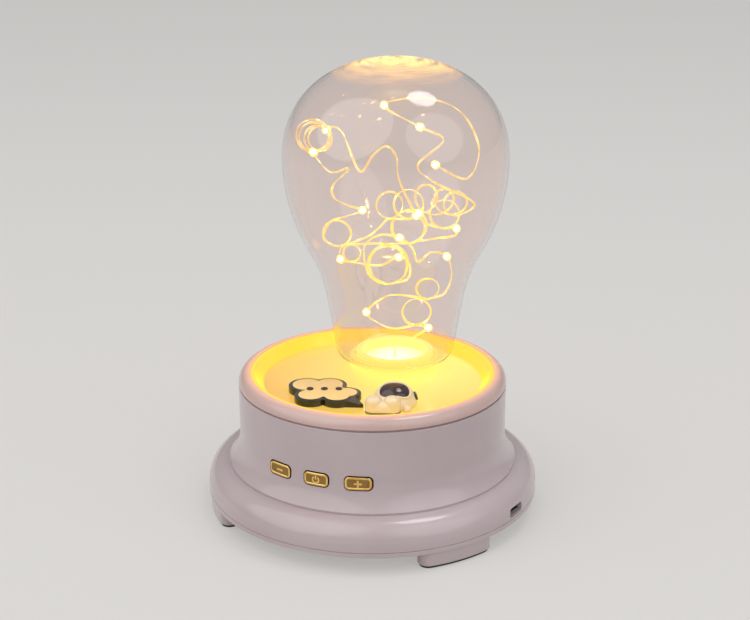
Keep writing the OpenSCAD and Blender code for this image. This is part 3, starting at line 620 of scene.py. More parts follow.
@dataclass(frozen=True)
class Finish:
    """A finish, with the parts that all finishes share."""

    name: str

    def start(self, **plain: object) -> tuple[Material, Nodes, Node]:
        """Starts a material with one main shader.

        Args:
            **plain: Plain values of the shader's sockets, with _ for a space.

        Returns:
            The material, its nodes and the main shader.
        """
        material = bpy.data.materials.new(self.name)
        material.use_nodes = True
        nodes = Nodes(material.node_tree)
        shader = nodes.found("BSDF_PRINCIPLED")
        for key, value in plain.items():
            shader.inputs[key.replace("_", " ")].default_value = value
        return material, nodes, shader

    def effect(self, nodes: Nodes, effect: Effect, **values: float) -> Node:
        """Places a shared effect with this finish's own values.

        Args:
            nodes: The material's nodes.
            effect: Which effect.
            **values: Its inputs, with _ for a space.

        Returns:
            The group's node.
        """
        node = nodes.add("ShaderNodeGroup", node_tree=effect.group())
        for key, value in values.items():
            node.inputs[key.replace("_", " ")].default_value = value
        return node

    def from_axis(self, nodes: Nodes, reach: Point2, axis: Point2 = (0.0, 0.0)) -> Socket:
        """Gives the share of the way between two radii about an upright axis.

        Args:
            nodes: The material's nodes.
            reach: The two radii.
            axis: Place of the axis.

        Returns:
            The share from 0 to 1.
        """
        near, far = reach
        group = self.effect(nodes, Effect.FROM_AXIS, Axis_X=axis[0], Axis_Y=axis[1], Near=near, Far=far)
        return group.outputs["Share"]

    def raise_skin(self, nodes: Nodes, shader: Node, height: Socket, depth: float) -> None:
        """Gives the shader a bumped surface from its height and the depth of the bumps."""
        bump = nodes.feed(nodes.add("ShaderNodeBump", {"Strength": 1.0, "Distance": depth}), Height=height)
        nodes.feed(shader, Normal=bump.outputs["Normal"])


@dataclass(frozen=True)
class Plastic(Finish):
    """Moulded plastic with a slight variation of tone, smears and specks."""

    colour: Colour = WHITE
    shade: Colour = WHITE
    rough: float = 0.28
    coat: float = 0.0
    fineness: float = 2500.0
    depth: float = 0.000004
    smear_rough: float = 0.02
    speck_rough: float = 0.01

    def surface(self) -> tuple[Material, Nodes, Node]:
        """Makes the moulded surface.

        Returns:
            The material, its nodes and the main shader.
        """
        material, nodes, shader = self.start(Coat_Weight=self.coat, Coat_Roughness=0.06, IOR=1.47)
        skin = self.effect(nodes, Effect.MOULDED, Fineness=self.fineness)
        marks = self.effect(nodes, Effect.HANDLED)
        worn = nodes.maths("MULTIPLY", marks.outputs["Smear"], self.smear_rough)
        dust = nodes.maths("MULTIPLY", marks.outputs["Speck"], self.speck_rough)
        rough = nodes.maths("ADD", nodes.maths("ADD", worn, dust), self.rough, clamp=True)
        tone = nodes.blend(skin.outputs["Tone"], self.shade, self.colour)
        nodes.feed(shader, Base_Color=tone, Roughness=rough)
        if self.depth > 0:
            self.raise_skin(nodes, shader, skin.outputs["Height"], self.depth)
        return material, nodes, shader

    def material(self) -> Material:
        """Makes the material."""
        return self.surface()[0]


@dataclass(frozen=True)
class LitPlastic(Plastic):
    """Plastic that glows: evenly, or from one colour to another and to a third at its edge. On the light
    drops, the chips and the lens the glow is the lamp's own; on the rim, tray and seat it is painted light
    from the globe's lights.
    """

    near: Colour = WHITE
    far: Colour | None = None
    edge: Colour | None = None
    strength: float = 1.0
    alpha: float = 1.0
    axis: Point2 = (0.0, 0.0)
    reach: Point2 = (0.0, 0.05)
    edge_reach: Point2 = (0.0421, 0.0431)

    def material(self) -> Material:
        """Makes the plastic with its glow: the lamp's own on the drops, chips and lens, painted light on the
        rim, tray and seat.

        Returns:
            The material.
        """
        material, nodes, shader = self.surface()
        shader.inputs["Emission Color"].default_value = self.near
        shader.inputs["Emission Strength"].default_value = self.strength
        shader.inputs["Alpha"].default_value = self.alpha
        if self.far is None:
            return material
        # On the rim, tray and seat this gradient is painted light, brightest near the globe, with a painted
        # glow at the tray's wall
        light = nodes.blend(self.from_axis(nodes, self.reach, self.axis), self.near, self.far)
        if self.edge is not None:
            light = nodes.blend(self.from_axis(nodes, self.edge_reach), light, self.edge)
        nodes.feed(shader, Emission_Color=light)
        return material


@dataclass(frozen=True)
class Metal(Finish):
    """Plated or plain metal with fine lines and worn patches, with painted shade in its recesses or painted
    light up to a height.
    """

    colour: Colour = WHITE
    worn: Colour = WHITE
    rough: float = 0.25
    lines: float = 0.000002
    worn_rough: float = 0.12
    # Painted light: an emission colour that changes with height, standing for the light that the drops cast
    # on the wire
    glow: Colour | None = None
    painted_glow_high: Colour = BLACK
    painted_glow_z: Point2 = (0.1, 0.145)
    painted_glow_strength: float = 0.0
    # Painted shade: a darker colour for faces that lie inside the given radii about the axis, the recesses
    deep: Colour | None = None
    recess_shade_r: Point2 = (0.0, 0.0)

    def material(self) -> Material:
        """Makes the metal.

        Returns:
            The material.
        """
        material, nodes, shader = self.start(Metallic=1.0, Emission_Strength=self.painted_glow_strength)
        marks = self.effect(nodes, Effect.HANDLED, Size=140.0)
        skin = self.effect(nodes, Effect.MOULDED, Fineness=1800.0)
        tone = nodes.blend(marks.outputs["Smear"], self.colour, self.worn)
        # Painted shade: darker in the recesses, inside the given radii
        if self.deep is not None:
            tone = nodes.blend(self.from_axis(nodes, self.recess_shade_r), self.deep, tone)
        patch = nodes.maths("MULTIPLY", marks.outputs["Smear"], self.worn_rough)
        rough = nodes.maths("ADD", patch, self.rough, clamp=True)
        nodes.feed(shader, Base_Color=tone, Roughness=rough)
        self.raise_skin(nodes, shader, skin.outputs["Height"], self.lines)
        # Painted light: one glow colour low down and another higher up
        if self.glow is not None:
            where = nodes.after(nodes.place(), "ShaderNodeSeparateXYZ")
            height = nodes.span(where.outputs["Z"], *self.painted_glow_z)
            nodes.feed(shader, Emission_Color=nodes.blend(height, self.glow, self.painted_glow_high))
        return material


@dataclass(frozen=True)
class ClearWall(Finish):
    """A thin clear wall that lets lamps through to what it shuts in, with painted light glowing in broken
    streaks in its crown.
    """

    tint: Colour = WHITE
    bend: float = 1.45
    smear_rough: float = 0.03
    # Painted light in the crown: its glow colours, golden tint and strength
    crown: Colour = BLACK
    crown_painted_hot: Colour = BLACK
    crown_painted_tint: Colour = WHITE
    crown_painted_strength: float = 1.0
    crown_z: Point2 = (0.148, 0.166)
    crown_r: Point2 = (0.007, 0.026)
    streaks: float = 520.0
    streak_break: float = 1.4
    streak_span: Point2 = (0.38, 0.68)
    streak_low: float = 0.06
    axis: Point2 = (0.0, 0.0)

    def painted_crown_glow(self, nodes: Nodes) -> Socket:
        """Works out where the painted light goes: in broken streaks round the middle of the crown.

        Args:
            nodes: The material's nodes.

        Returns:
            A mask from 0 to 1.
        """
        where = nodes.place()
        height = nodes.after(where, "ShaderNodeSeparateXYZ")
        high = nodes.span(height.outputs["Z"], *self.crown_z)
        middle = nodes.maths("SUBTRACT", 1.0, self.from_axis(nodes, self.crown_r, self.axis))
        centred = {"Location": (-self.axis[0], -self.axis[1], 0.0), "Scale": (1.0, 1.0, 0.0)}
        flat = nodes.after(where, "ShaderNodeMapping", centred).outputs["Vector"]
        away = nodes.after(flat, "ShaderNodeVectorMath", operation="LENGTH")
        unit = nodes.after(flat, "ShaderNodeVectorMath", operation="NORMALIZE")
        around = nodes.after(unit.outputs["Vector"], "ShaderNodeSeparateXYZ")
        spot = nodes.vector(X=nodes.maths("MULTIPLY", away.outputs["Value"], self.streaks),
                            Y=nodes.maths("MULTIPLY", around.outputs["X"], self.streak_break),
                            Z=nodes.maths("MULTIPLY", around.outputs["Y"], self.streak_break))
        noise = nodes.after(spot, "ShaderNodeTexNoise", {"Scale": 1.0, "Detail": 4.0, "Roughness": 0.62})
        streaks = nodes.span(noise.outputs["Fac"], *self.streak_span, to=(self.streak_low, 1.0))
        return nodes.maths("MULTIPLY", nodes.maths("MULTIPLY", middle, high), streaks)

    def material(self) -> Material:
        """Makes the wall, which shadow rays and scattered light pass straight through.

        Returns:
            The material.
        """
        material, nodes, shader = self.start(Transmission_Weight=1.0, IOR=self.bend,
                                             Emission_Strength=self.crown_painted_strength)
        marks = self.effect(nodes, Effect.HANDLED, Size=40.0)
        rough = nodes.maths("MULTIPLY", marks.outputs["Smear"], self.smear_rough)
        # Painted light: the crown's streaks glow gold and take a golden tint, standing for the lights' glow
        # in the glass
        painted_crown_glow = self.painted_crown_glow(nodes)
        hot = nodes.blend(painted_crown_glow, self.crown, self.crown_painted_hot)
        nodes.feed(shader, Roughness=rough, Base_Color=nodes.blend(painted_crown_glow, self.tint, self.crown_painted_tint),
                   Emission_Color=nodes.blend(painted_crown_glow, BLACK, hot))
        clear = nodes.add("ShaderNodeBsdfTransparent", {"Color": self.tint})
        light = nodes.add("ShaderNodeLightPath")
        last = shader.outputs[0]
        for ray in ("Is Shadow Ray", "Is Diffuse Ray"):
            last = nodes.choose(light.outputs[ray], last, clear.outputs[0])
        nodes.feed(nodes.found("OUTPUT_MATERIAL"), Surface=last)
        return material


@dataclass(frozen=True)
class Cloth(Finish):
    """Woven or pressed fibre."""

    colour: Colour = BLACK
    thread: Colour = WHITE
    pitch: float = 0.0006
    depth: float = 0.00008
    wave_length: float = 0.314

    def material(self) -> Material:
        """Makes the cloth from two crossed waves, each wave_length long at a scale of 1.

        Returns:
            The material.
        """
        material, nodes, shader = self.start(Roughness=0.85, Sheen_Weight=0.2)
        where = nodes.place()
        values = {"Scale": self.wave_length / self.pitch, "Distortion": 0.6}
        waves = [nodes.after(where, "ShaderNodeTexWave", values, bands_direction=axis) for axis in ("X", "Y")]
        weave = nodes.maths("MAXIMUM", *(wave.outputs["Fac"] for wave in waves))
        nodes.feed(shader, Base_Color=nodes.blend(weave, self.colour, self.thread))
        self.raise_skin(nodes, shader, weave, self.depth)
        return material


@dataclass(frozen=True)
class Board(Finish):
    """A circuit board: lacquer over copper tracks."""

    colour: Colour = BLACK
    track: Colour = WHITE
    track_span: Point2 = (0.34, 0.42)
    depth: float = 0.00003

    def material(self) -> Material:
        """Makes the board.

        Returns:
            The material.
        """
        material, nodes, shader = self.start(Roughness=0.38, Coat_Weight=0.3)
        values = {"Scale": 260.0, "Randomness": 0.55}
        cells = nodes.after(nodes.place(), "ShaderNodeTexVoronoi", values, distance="MANHATTAN")
        tracks = nodes.span(cells.outputs["Distance"], *self.track_span)
        nodes.feed(shader, Base_Color=nodes.blend(tracks, self.colour, self.track))
        self.raise_skin(nodes, shader, tracks, self.depth)
        return material


class Palette:
    """All finishes of the lamp, made once and handed out by name."""

    def __init__(self) -> None:
        """Lists the finishes and makes them."""
        globe_axis = (0.0, GLOBE_Y * MM)
        # Middle of the painted pool of light on the tray
        tray_painted_light_axis = (0.014, 0.02)
        listed = [
            Plastic("case_plastic", srgb(185, 170, 172), srgb(178, 162, 164), 0.22, 0.4),
            # Painted light: the rim glows orange at its inner edge, as if lit by the tray, fading outwards
            LitPlastic("rim_plastic", srgb(198, 170, 163), srgb(191, 162, 155), 0.22, 0.4,
                       near=srgb(236, 150, 62), far=srgb(18, 8, 4), strength=0.9, reach=(0.0468, 0.0506)),
            # Painted light: the tray glows pale yellow near the globe, deeper yellow further off and
            # orange-yellow up its wall, as if lit by the globe's lights
            LitPlastic("tray_plastic", srgb(150, 120, 62), srgb(142, 112, 56), 0.2, 0.4,
                       near=srgb(224, 224, 112), far=srgb(216, 158, 62), edge=srgb(222, 206, 40),
                       axis=tray_painted_light_axis, reach=(0.012, 0.07)),
            # Painted light: the seat glows yellow, brighter near the globe's axis, as if lit by the globe's
            # lights
            LitPlastic("seat_plastic", srgb(190, 160, 80), srgb(182, 150, 70), 0.24, 0.3,
                       near=srgb(236, 224, 130), far=srgb(224, 214, 100), axis=globe_axis,
                       reach=(0.012, 0.019)),
            LitPlastic("lens_plastic", srgb(255, 240, 190), srgb(250, 230, 170), 0.4,
                       near=srgb(255, 238, 180), far=srgb(255, 214, 110), strength=1.6, axis=globe_axis,
                       reach=(0.003, 0.013)),
            LitPlastic("drop_shell", srgb(255, 206, 110), srgb(250, 190, 90), 0.12, 0.5,
                       near=srgb(255, 206, 84), strength=1.1, alpha=0.5),
            LitPlastic("drop_core", srgb(255, 240, 210), srgb(255, 236, 200), 0.3,
                       near=srgb(255, 240, 196), strength=30.0),
            LitPlastic("chip_glow", srgb(255, 236, 170), srgb(250, 226, 150), 0.4,
                       near=srgb(255, 226, 140), strength=2.0),
            Plastic("black_gloss", srgb(20, 18, 18), srgb(14, 13, 13), 0.16, 0.6),
            Plastic("sign_cream", srgb(255, 222, 148), srgb(250, 212, 136), 0.3, 0.3),
            # The figure's colour is its white plus a warm tint that is painted light from the yellow tray
            Plastic("figure_white", srgb(243, 224, 188), srgb(236, 212, 172), 0.24, 0.5),
            Plastic("visor_gloss", srgb(58, 24, 16), srgb(40, 15, 10), 0.06, 0.6, depth=0.0),
            Plastic("soft_rubber", srgb(42, 41, 43), srgb(34, 33, 35), 0.7, depth=0.00002),
            Plastic("sole_rubber", srgb(150, 128, 104), srgb(138, 116, 92), 0.6, depth=0.00001),
            Plastic("dark_moulding", srgb(38, 38, 40), srgb(30, 30, 32), 0.5, depth=0.00001),
            Plastic("plug_ivory", srgb(226, 220, 202), srgb(216, 208, 188), 0.45),
            Plastic("cell_sleeve", srgb(40, 74, 150), srgb(32, 62, 132), 0.22, 0.5),
            Plastic("red_sleeve", srgb(160, 34, 30), srgb(146, 28, 26), 0.4),
            Plastic("grey_sleeve", srgb(84, 84, 88), srgb(74, 74, 78), 0.4),
            Plastic("board_white", srgb(236, 236, 230), srgb(228, 228, 222), 0.45),
            # Painted shade: the buttons' dished faces and sides are darker than their raised signs and rims
            Metal("gold_plate", srgb(244, 204, 124), srgb(222, 172, 92), 0.05, 0.000001,
                  deep=srgb(84, 52, 22), recess_shade_r=(0.05262, 0.05282)),
            # Painted light: the wire glows yellow low down and paler higher up, as if lit by its drops
            Metal("gold_wire", srgb(250, 224, 160), srgb(236, 200, 126), 0.2,
                  glow=srgb(255, 220, 104), painted_glow_high=srgb(206, 174, 122), painted_glow_strength=0.65),
            Metal("steel", srgb(186, 186, 188), srgb(146, 146, 150), 0.3),
            Metal("copper_wire", srgb(196, 122, 70), srgb(150, 84, 44), 0.35),
            Metal("ferrite", srgb(66, 66, 70), srgb(50, 50, 54), 0.6, lines=0.00002),
            Metal("black_tin", srgb(44, 44, 46), srgb(30, 30, 32), 0.45, lines=0.00001),
            # Painted light: the globe's crown glows gold in broken streaks
            ClearWall("clear_globe", srgb(252, 243, 240), crown=srgb(255, 176, 54),
                      crown_painted_hot=srgb(255, 244, 140), crown_painted_tint=srgb(244, 190, 96), axis=globe_axis),
            Cloth("grille_cloth_black", srgb(20, 20, 22), srgb(44, 44, 48)),
            Cloth("cone_paper", srgb(36, 35, 35), srgb(48, 47, 46), 0.0011),
            Cloth("spider_weave", srgb(170, 132, 74), srgb(198, 160, 96), 0.0007),
            Board("board_green", srgb(18, 72, 40), srgb(34, 104, 58)),
        ]
        self.made = {finish.name: finish.material() for finish in listed}

    def __getitem__(self, name: str) -> Material:
        """Gives a finish by name."""
        return self.made[name]


# Pieces that grow along a line or at places


SCREW_SIZES = ("Head Radius", "Head Height", "Shank Radius", "Shank Length")


def open_growth(name: str, inputs: dict[str, str]) -> tuple[Nodes, Node, Node]:
    """Starts a tree that grows geometry, with named inputs and a finish.

    Args:
        name: Name of the tree.
        inputs: Its inputs and the type of each.

    Returns:
        The tree's nodes, its input node and its output node.
    """
    tree = bpy.data.node_groups.new(name, "GeometryNodeTree")
    for key, kind in {"Geometry": "Geometry", **inputs, "Finish": "Material"}.items():
        tree.interface.new_socket(key, in_out="INPUT", socket_type="NodeSocket" + kind)
    tree.interface.new_socket("Geometry", in_out="OUTPUT", socket_type="NodeSocketGeometry")
    nodes = Nodes(tree)
    return nodes, nodes.add("NodeGroupInput"), nodes.add("NodeGroupOutput")


def closed_growth(nodes: Nodes, given: Node, out: Node, shape: Socket) -> Tree:
    """Ends a tree: one real mesh, smooth, with its finish.

    Args:
        nodes: The tree's nodes.
        given: Its input node.
        out: Its output node.
        shape: What was grown.

    Returns:
        The tree.
    """
    real = nodes.after(shape, "GeometryNodeRealizeInstances")
    smooth = nodes.after(real.outputs["Geometry"], "GeometryNodeSetShadeSmooth")
    finish = nodes.after(smooth.outputs["Geometry"], "GeometryNodeSetMaterial")
    nodes.feed(finish, Material=given.outputs["Finish"])
    nodes.feed(out, Geometry=finish.outputs["Geometry"])
    return nodes.tree


def spread(nodes: Nodes, given: Node, shape: Socket) -> Node:
    """Sets a shape at each place, turned with its Z along the attribute named along.

    Args:
        nodes: The tree's nodes.
        given: Its input node, which holds the places.
        shape: The shape.

    Returns:
        The node that sets it.
    """
    along = nodes.add("GeometryNodeInputNamedAttribute", {"Name": "along"}, data_type="FLOAT_VECTOR")
    facing = nodes.add("FunctionNodeAlignRotationToVector", axis="Z")
    nodes.feed(facing, Vector=along.outputs["Attribute"])
    points = nodes.after(given.outputs["Geometry"], "GeometryNodeInstanceOnPoints")
    return nodes.feed(points, Instance=shape, Rotation=facing.outputs["Rotation"])


def wire_tree() -> Tree:
    """Grows two strands side by side along a line of edges, which turn slowly about each other.

    Returns:
        The tree.
    """
    sizes = {"Radius": "Float", "Half Gap": "Float", "Twist": "Float", "Sides": "Int"}
    nodes, given, out = open_growth("twin_wire_along_line", sizes)
    section = nodes.add("GeometryNodeCurvePrimitiveCircle")
    nodes.feed(section, Radius=given.outputs["Radius"], Resolution=given.outputs["Sides"])
    pair = nodes.add("GeometryNodeJoinGeometry")
    for side in (-1.0, 1.0):
        shift = nodes.vector(X=nodes.maths("MULTIPLY", given.outputs["Half Gap"], side))
        strand = nodes.after(section.outputs["Curve"], "GeometryNodeTransform")
        nodes.feed(strand, Translation=shift)
        nodes.feed(pair, Geometry=strand.outputs["Geometry"])
    line = nodes.after(given.outputs["Geometry"], "GeometryNodeMeshToCurve")
    along = nodes.add("GeometryNodeSplineParameter")
    turned = nodes.after(line.outputs["Curve"], "GeometryNodeSetCurveTilt")
    nodes.feed(turned, Tilt=nodes.maths("MULTIPLY", along.outputs["Length"], given.outputs["Twist"]))
    sweep = nodes.after(turned.outputs["Curve"], "GeometryNodeCurveToMesh", {"Fill Caps": True})
    nodes.feed(sweep, Profile_Curve=pair.outputs["Geometry"])
    return closed_growth(nodes, given, out, sweep.outputs["Mesh"])


def drop_tree() -> Tree:
    """Grows a long drop at each place, turned along the wire there.

    Returns:
        The tree.
    """
    nodes, given, out = open_growth("drops_on_wire", {"Radius": "Float", "Half Length": "Float"})
    ball = nodes.add("GeometryNodeMeshUVSphere", {"Segments": 20, "Rings": 12, "Radius": 1.0})
    radius = given.outputs["Radius"]
    drops = spread(nodes, given, ball.outputs["Mesh"])
    nodes.feed(drops, Scale=nodes.vector(X=radius, Y=radius, Z=given.outputs["Half Length"]))
    return closed_growth(nodes, given, out, drops.outputs["Instances"])


def screw_tree() -> Tree:
    """Grows a screw with a cross in its head at each place, turned as the place says.

    Returns:
        The tree.
    """
    slot_reach, slot_width = 1.1, 0.28
    nodes, given, out = open_growth("cross_screws", {key: "Float" for key in SCREW_SIZES})
    head_r, head_h, shank_r, shank_l = (given.outputs[key] for key in SCREW_SIZES)
    head = nodes.feed(nodes.add("GeometryNodeMeshCylinder", {"Vertices": 40}), Radius=head_r, Depth=head_h)
    cross = nodes.after(head.outputs["Mesh"], "GeometryNodeMeshBoolean", operation="DIFFERENCE")
    top = nodes.vector(Z=nodes.maths("MULTIPLY", head_h, 0.5))
    reach, width = (nodes.maths("MULTIPLY", head_r, share) for share in (slot_reach, slot_width))
    for x, y in ((reach, width), (width, reach)):
        bar = nodes.feed(nodes.add("GeometryNodeMeshCube"), Size=nodes.vector(X=x, Y=y, Z=head_h))
        raised = nodes.feed(nodes.after(bar.outputs["Mesh"], "GeometryNodeTransform"), Translation=top)
        nodes.join(raised.outputs["Geometry"], cross.inputs["Mesh 2"])
    shank = nodes.feed(nodes.add("GeometryNodeMeshCylinder", {"Vertices": 28}), Radius=shank_r, Depth=shank_l)
    below = nodes.vector(Z=nodes.maths("MULTIPLY", nodes.maths("ADD", head_h, shank_l), -0.5))
    lower = nodes.feed(nodes.after(shank.outputs["Mesh"], "GeometryNodeTransform"), Translation=below)
    both = nodes.after(cross.outputs["Mesh"], "GeometryNodeJoinGeometry")
    nodes.feed(both, Geometry=lower.outputs["Geometry"])
    screws = spread(nodes, given, both.outputs["Geometry"])
    return closed_growth(nodes, given, out, screws.outputs["Instances"])


def places(name: str, spots: list[Vector], along: list[Vector]) -> bpy.types.Mesh:
    """Makes a mesh of places for a tree.

    Args:
        name: Name of the mesh.
        spots: The places.
        along: The direction at each.

    Returns:
        The mesh, with the attribute named along.
    """
    mesh = bpy.data.meshes.new(name)
    mesh.from_pydata(spots, [], [])
    attribute = mesh.attributes.new("along", "FLOAT_VECTOR", "POINT")
    attribute.data.foreach_set("vector", [part for v in along for part in v])
    return mesh


def grown(name: str, mesh: bpy.types.Mesh, tree: Tree, inputs: dict[str, object], sharp: float = 40) -> Piece:
    """Grows a tree on a mesh and keeps the result as a plain mesh.

    Args:
        name: Name of the piece.
        mesh: What the tree starts from.
        tree: The tree.
        inputs: Its inputs by name.
        sharp: Edges over this angle in degrees stay sharp.

    Returns:
        The piece.
    """
    piece = shown(name, mesh)
    modifier = piece.modifiers.new("growth", "NODES")
    modifier.node_group = tree
    keys = {s.name: s.identifier for s in tree.interface.items_tree if s.in_out == "INPUT"}
    for key, value in inputs.items():
        modifier[keys[key]] = value
    result = settled(piece)
    piece.modifiers.clear()
    piece.data = result
    result.name = name
    result.set_sharp_from_angle(angle=math.radians(sharp))
    return piece


# Sub-assemblies, in millimetres


@dataclass
class Assembly:
    """A sub-assembly, with what all of them do with their pieces."""

    finishes: Palette

    def dress(self, finish: str, *nodes: str) -> None:
        """Gives carried-over solids a finish.

        Args:
            finish: Name of the finish.
            *nodes: Names of the solids.
        """
        for name in nodes:
            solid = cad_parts[name]
            solid.data.materials.clear()
            solid.data.materials.append(self.finishes[finish])
            LOG.info("dressed %s in %s", name, finish)

    def seat(self, piece: Piece, body: str, slot: str, *nodes: str) -> Piece:
        """Joins a finished piece to the frame.

        Args:
            piece: The piece.
            body: The body that carries it.
            slot: Not used.
            *nodes: The solids that it stands for.

        Returns:
            The piece.
        """
        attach(piece, body)
        if nodes:
            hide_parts(*nodes)
        LOG.info("built %s on %s", piece.name, body)
        return piece

    def made(self, name: str, shape: Shape, finish: str, slot: str, *nodes: str,
             sharp: float = 32, body: str = HOUSING) -> Piece:
        """Finishes a shape and joins it to the frame in the place of the solids that it stands for."""
        return self.seat(finished(name, shape, self.finishes[finish], sharp), body, slot, *nodes)

    def build(self) -> None:
        """Builds the pieces."""
        raise NotImplementedError


@dataclass(frozen=True)
class ScrewPost:
    """A round post with a screw hole in its free end."""

    r: float
    base: float
    end: float
    bore: float
    floor: float
    base_round: float
    end_round: float
    bore_round: float

    def profile(self) -> list[Point2]:
        """Outline of half the post, with its hole.

        Returns:
            Radius and height of each point.
        """
        return eased([(0, self.base, 0), (self.r, self.base, self.base_round),
                      (self.r, self.end, self.end_round), (self.bore, self.end, self.bore_round),
                      (self.bore, self.floor, 0), (0, self.floor, 0)])


@dataclass
class Housing(Assembly):
    """Base ring, body, rim, tray and the cover under them."""

    around: int = 240
    wall: float = 2.2
    base_r: float = 65.0
    cover_top: float = 8.5
    ring_round: float = 8.4
    ring_edge: Point2 = (0.2, 0.4)
    lip_z: float = 19.5
    shelf_in: float = 51.0
    tongue: Point3 = (52.2, 54.2, 1.5)
    tongue_gap: float = 0.15
    slot_angle: float = 80.0
    slot: Point3 = (9.0, 9.3, 13.2)
    slot_corner: float = 1.1
    slot_reach: Point2 = (46.0, 70.0)
    body_r: float = 52.3
    flare_w: float = 4.3
    flare_h: float = 11.5
    flare_steps: int = 24
    lip_edge: float = 0.8
    lip_flat: float = 1.5
    lip_rounds: Point2 = (0.12, 0.2)
    shell_z: float = 50.2
    shell_edge: float = 2.2
    shell_rounds: Point2 = (0.35, 0.2)
    outer_rings: tuple[float, ...] = (34.0, 38.0, 42.0, 46.0)
    inner_rings: tuple[float, ...] = (46.0, 40.0, 34.0, 28.0, 23.0)
    button_slot: Point3 = (10.4, 5.8, 2.0)
    button_reach: Point2 = (30.0, 60.0)
    cover_boss: ScrewPost = ScrewPost(3.5, 35.5, 10.7, 1.55, 22.7, 0.4, 0.3, 0.2)
    cover_boss_r: float = 47.0
    cover_boss_angles: tuple[float, ...] = (-60, 60, 180)
    switch_post: ScrewPost = ScrewPost(2.7, -4.5, 0, 1.15, -3.6, 0, 0.3, 0.15)
    switch_post_x: float = 26.0
    switch_post_y: float = -38.91
    rim_round: float = 4.1
    rim_in: float = 47.5
    rim_edge: float = 0.1
    rim_step: Point2 = (49.8, 51.3)
    rim_floor: Point2 = (46.8, 48.4)
    rim_floor_in: float = 38.4
    seam_z: float = 50.9
    seam_rise: float = 0.2
    seam_in: float = 0.05
    board_post: ScrewPost = ScrewPost(3.0, 47.0, BOARD_Z, 1.15, 46.3, 0, 0.2, 0.1)
    board_post_r: float = 42.0
    board_post_angles: tuple[float, ...] = (0, 120, 240)
    tray_r: float = 42.4
    tray_round: float = 1.3
    tray_lip: Point2 = (46.2, 47.35)
    tray_lip_z: float = 54.8
    tray_under: Point2 = (53.9, 48.4)
    tray_under_r: float = 43.0
    tray_gap: float = 0.15

    def ring(self) -> None:
        """Builds the quarter-round base ring with its charging slot."""
        lip_r, round_z = self.base_r - self.ring_round, self.lip_z - self.ring_round
        tongue_in, tongue_out, rise = self.tongue
        inner_ease, outer_ease = self.ring_edge
        profile = eased([(self.base_r - self.wall, self.cover_top, inner_ease),
                         (self.base_r, self.cover_top, outer_ease), (self.base_r, round_z, 0)])
        profile += arc(lip_r, round_z, self.ring_round, 0, 90, steps=28)[1:]
        profile += [(tongue_out, self.lip_z), (tongue_out, self.lip_z + rise), (tongue_in, self.lip_z + rise),
                    (tongue_in, self.lip_z), (self.shelf_in, self.lip_z),
                    (self.shelf_in, self.lip_z - self.wall)]
        profile += arc(lip_r, round_z, self.ring_round - self.wall, 90, 0, steps=20)
        shape = bmesh.new()
        lathe(shape, profile, around=self.around)
        width, bottom, top = self.slot
        outline = [(x, z + (bottom + top) / 2) for x, z in round_box(width, top - bottom, self.slot_corner)]
        place = front_turn(self.slot_angle)
        tool = bmesh.new()
        stack(tool, [moved(place, [(x, -r, z) for x, z in outline]) for r in self.slot_reach])
        self.made("ring_moulding", cut(shape, tool), "case_plastic", "case_plastic", "base_ring")

    def drum_profile(self) -> list[Point2]:
        """Outline of the drum's wall with its flared lip and the groove for the ring's tongue.

        Returns:
            Radius and height of each point.
        """
        lip_r, inside = self.base_r - self.ring_round, self.body_r - self.wall
        rise = self.flare_h - self.lip_edge
        curve = (rise ** 2 + self.flare_w ** 2) / (2 * self.flare_w)
        start = 180 + math.degrees(math.asin(rise / curve))
        flare = arc(self.body_r + curve, self.lip_z + self.flare_h, curve, start, 180, self.flare_steps)[1:]
        low, high = self.tongue[0] - self.tongue_gap, self.tongue[1] + self.tongue_gap
        depth = self.lip_z + self.tongue[2] + self.tongue_gap
        profile = [(inside, self.lip_z), (low, self.lip_z), (low, depth), (high, depth), (high, self.lip_z)]
        profile += eased([(lip_r - self.lip_flat, self.lip_z, 0), (lip_r, self.lip_z, self.lip_rounds[0]),
                          (lip_r, self.lip_z + self.lip_edge, self.lip_rounds[1]), flare[0] + (0,)])[1:-1]
        profile += flare + [(self.body_r, z) for z in self.outer_rings]
        edge_z = self.shell_z - self.shell_edge
        outer_ease, inner_ease = self.shell_rounds
        profile += eased([(self.body_r, edge_z, 0), (self.body_r, self.shell_z, outer_ease),
                          (inside, self.shell_z, inner_ease), (inside, edge_z, 0)])[1:-1]
        return profile + [(inside, z) for z in self.inner_rings]

    def drum(self) -> None:
        """Builds the drum with its button slots, bosses and posts."""
        shape = bmesh.new()
        lathe(shape, self.drum_profile(), around=self.around)
        tool = bmesh.new()
        for x in (-BUTTON_PITCH, 0.0, BUTTON_PITCH):
            outline = [(x + u, BUTTON_Z + v) for u, v in round_box(*self.button_slot)]
            stack(tool, [[(u, -r, v) for u, v in outline] for r in self.button_reach])
        shape = cut(shape, tool)
        for angle in self.cover_boss_angles:
            place = front_turn(angle) @ Matrix.Translation((0, -self.cover_boss_r, 0))
            lathe(shape, self.cover_boss.profile(), place, around=40)
        for x in (-self.switch_post_x, self.switch_post_x):
            place = Matrix.Translation((x, self.switch_post_y, BUTTON_Z)) @ to_back()
            lathe(shape, self.switch_post.profile(), place, around=32)
        self.made("drum_moulding", shape, "case_plastic", "case_plastic", "body_shell")

